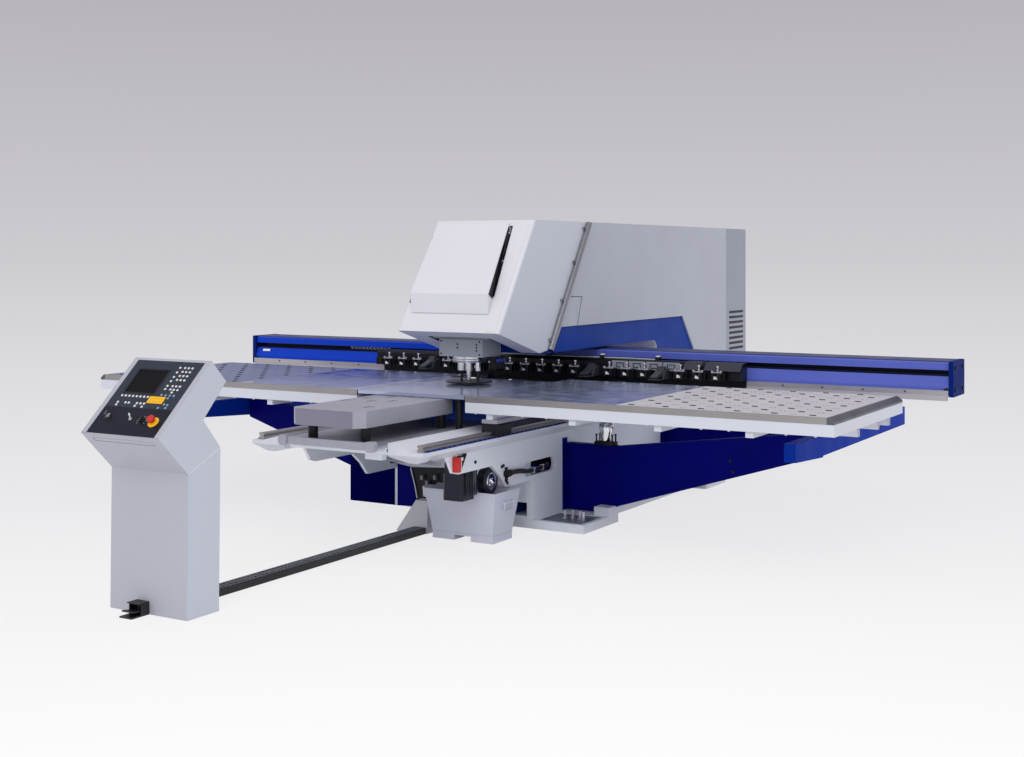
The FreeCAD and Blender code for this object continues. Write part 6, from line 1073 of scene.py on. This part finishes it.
def makeRailDetails(settings):
    places = np.array([(settings["capX"], y, z) for y in settings["capY"] for z in settings["capZ"]])
    right = stamped(hexHead, places, outRight)
    left = stamped(hexHead, places * (-1, 1, 1), outLeft)
    makePiece("capBolts", together(right, left), "boltBlack", "cross_slide")
    x = np.arange(*settings["strip"])
    places = np.stack([x, 0 * x + settings["stripY"], 0 * x + settings["stripZ"]], -1)
    makePiece("stripScrews", stamped(smallHead, places, outFront), "boltBlack", "cross_slide")
    lower = stamped(slab(*settings["foot"], 0.002, 0.001), [settings["footPlace"]])
    makePiece("stripFoot", lower, "railSteel", "cross_slide")
    block = stamped(slab(*settings["stop"], 0.003, 0.001), bothSides([settings["stopPlace"]]))
    makePiece("stripStops", block, "boltBlack", "cross_slide")
    x = np.arange(*settings["chain"])
    link, y = slab(*settings["link"], 0.0035, 0.001), settings["chainY"]
    links = [stamped(link, np.stack([x, 0 * x + y, 0 * x + z], -1), facing((0, -1, 0), (1, 0, tilt)))
             for z, tilt in settings["linkRows"]]
    makePiece("railChain", together(*links), "signWhite", "cross_slide")
    plate = stamped(slab(*settings["plate"], 0.002, 0.0008), [settings["platePlace"]],
                    facing(settings["plateOut"]))
    makePiece("railPlate", plate, "signWhite", "cross_slide")
    low, high = settings["gripZ"]
    a = np.linspace(0, np.pi / 2, 6)
    lower = np.c_[settings["gripReach"] * np.sin(a), low + settings["gripBend"] * (1 - np.cos(a))]
    path = np.concatenate([lower, np.c_[lower[::-1, 0], low + high - lower[::-1, 1]]])
    out = settings["gripY"] + path[:, 0] * settings["gripSlant"]
    grip = piped(np.c_[0 * out + settings["gripX"], out, path[:, 1]], settings["gripRadius"], 10)
    makePiece("doorGrip", grip, "blackPlastic", "rear_door")


makeRailDetails(railSettings)
print("head and rail detailed")


# the room: a pale floor to the horizon, grey air above it, mostly even light and one soft sun
roomSettings = dict(
    floorReach=1500.0, glow=0.88, fill=0.86, sun=0.62, sunTurn=(48.0, 0.0, 16.0), sunAngle=28.0,
    floorDrop=0.001, fillTone=(0.975, 0.982, 1.0, 1.0), airRise=0.2, nearReach=5.0,
    nearTone=(253, 253, 253), horizonTone=(204, 203, 208), skyTone=(180, 176, 185), fade=1.8, fadeSteps=11)


# 1 for what the camera sees straight, in gloss or through glass
def seenOf(tree):
    path = addNode(tree, "ShaderNodeLightPath")
    rays = {0: path.outputs["Is Camera Ray"], 1: path.outputs["Is Glossy Ray"]}
    seen = addNode(tree, "ShaderNodeMath", rays, operation="ADD")
    return addNode(tree, "ShaderNodeMath", {0: seen.outputs[0], 1: path.outputs["Is Transmission Ray"]},
                   operation="ADD", use_clamp=True).outputs[0]


def makeRoom(settings):
    half = settings["floorReach"]
    corners = np.array([[-half, -half, 0], [half, -half, 0], [half, half, 0], [-half, half, 0]], float)
    mesh = bpy.data.meshes.new("floor")
    mesh.from_pydata(corners.tolist(), [], [(0, 1, 2, 3)])
    floor = bpy.data.objects.new("floor", mesh)
    floor.location.z = -settings["floorDrop"]
    bpy.context.scene.collection.objects.link(floor)
    material = bpy.data.materials.new("floorPaper")
    material.use_nodes = True
    tree = material.node_tree
    tree.nodes.clear()
    # the paper darkens with the distance from the spot under the photograph's camera; the spot is fixed,
    # so other views see the same floor
    coords = addNode(tree, "ShaderNodeTexCoord")
    foot = cameraSettings["place"]
    gap = addNode(tree, "ShaderNodeVectorMath", {0: coords.outputs["Object"], 1: (foot[0], foot[1], 0.0)},
                  operation="DISTANCE")
    share = addNode(tree, "ShaderNodeMath", {0: settings["nearReach"], 1: gap.outputs["Value"]},
                    operation="DIVIDE", use_clamp=True)
    ramp = addNode(tree, "ShaderNodeValToRGB", {"Fac": share.outputs[0]})
    marks = ramp.color_ramp.elements
    far, near = np.array(settings["horizonTone"]), np.array(settings["nearTone"])
    marks[0].color = linear(far)
    marks[-1].color = linear(near)
    # far + (near - far)(1 - (1 - share) to the power of fade), in even steps
    for place in np.linspace(0, 1, settings["fadeSteps"])[1:-1]:
        marks.new(place).color = linear(far + (near - far) * (1 - (1 - place) ** settings["fade"]))
    paper = addNode(tree, "ShaderNodeBsdfDiffuse", {"Color": ramp.outputs["Color"]})
    glow = addNode(tree, "ShaderNodeEmission", {"Color": ramp.outputs["Color"]})
    part = addNode(tree, "ShaderNodeMath", {0: seenOf(tree), 1: settings["glow"]}, operation="MULTIPLY")
    mix = addNode(tree, "ShaderNodeMixShader", {0: part.outputs[0], 1: paper.outputs[0], 2: glow.outputs[0]})
    addNode(tree, "ShaderNodeOutputMaterial", {"Surface": mix.outputs[0]})
    mesh.materials.append(material)

    world = bpy.data.worlds.new("room")
    bpy.context.scene.world = world
    world.use_nodes = True
    tree = world.node_tree
    tree.nodes.clear()
    coords = addNode(tree, "ShaderNodeTexCoord")
    split = addNode(tree, "ShaderNodeSeparateXYZ", {"Vector": coords.outputs["Generated"]})
    height = ranged(tree, split.outputs[2], 0.0, settings["airRise"], 0.0, 1.0)
    air = blendOf(tree, height, linear(settings["horizonTone"]), linear(settings["skyTone"]))
    lamp = addNode(tree, "ShaderNodeBackground",
                   {"Color": settings["fillTone"], "Strength": settings["fill"]})
    view = addNode(tree, "ShaderNodeBackground", {"Color": air, "Strength": 1.0})
    mix = addNode(tree, "ShaderNodeMixShader", {0: seenOf(tree), 1: lamp.outputs[0], 2: view.outputs[0]})
    addNode(tree, "ShaderNodeOutputWorld", {"Surface": mix.outputs[0]})
    sun = bpy.data.lights.new("softSun", "SUN")
    sun.energy = settings["sun"]
    sun.angle = math.radians(settings["sunAngle"])
    lampObject = bpy.data.objects.new("softSun", sun)
    lampObject.rotation_euler = [math.radians(a) for a in settings["sunTurn"]]
    bpy.context.scene.collection.objects.link(lampObject)
    bpy.context.scene.view_settings.view_transform = "Standard"


makeRoom(roomSettings)
print("room made")
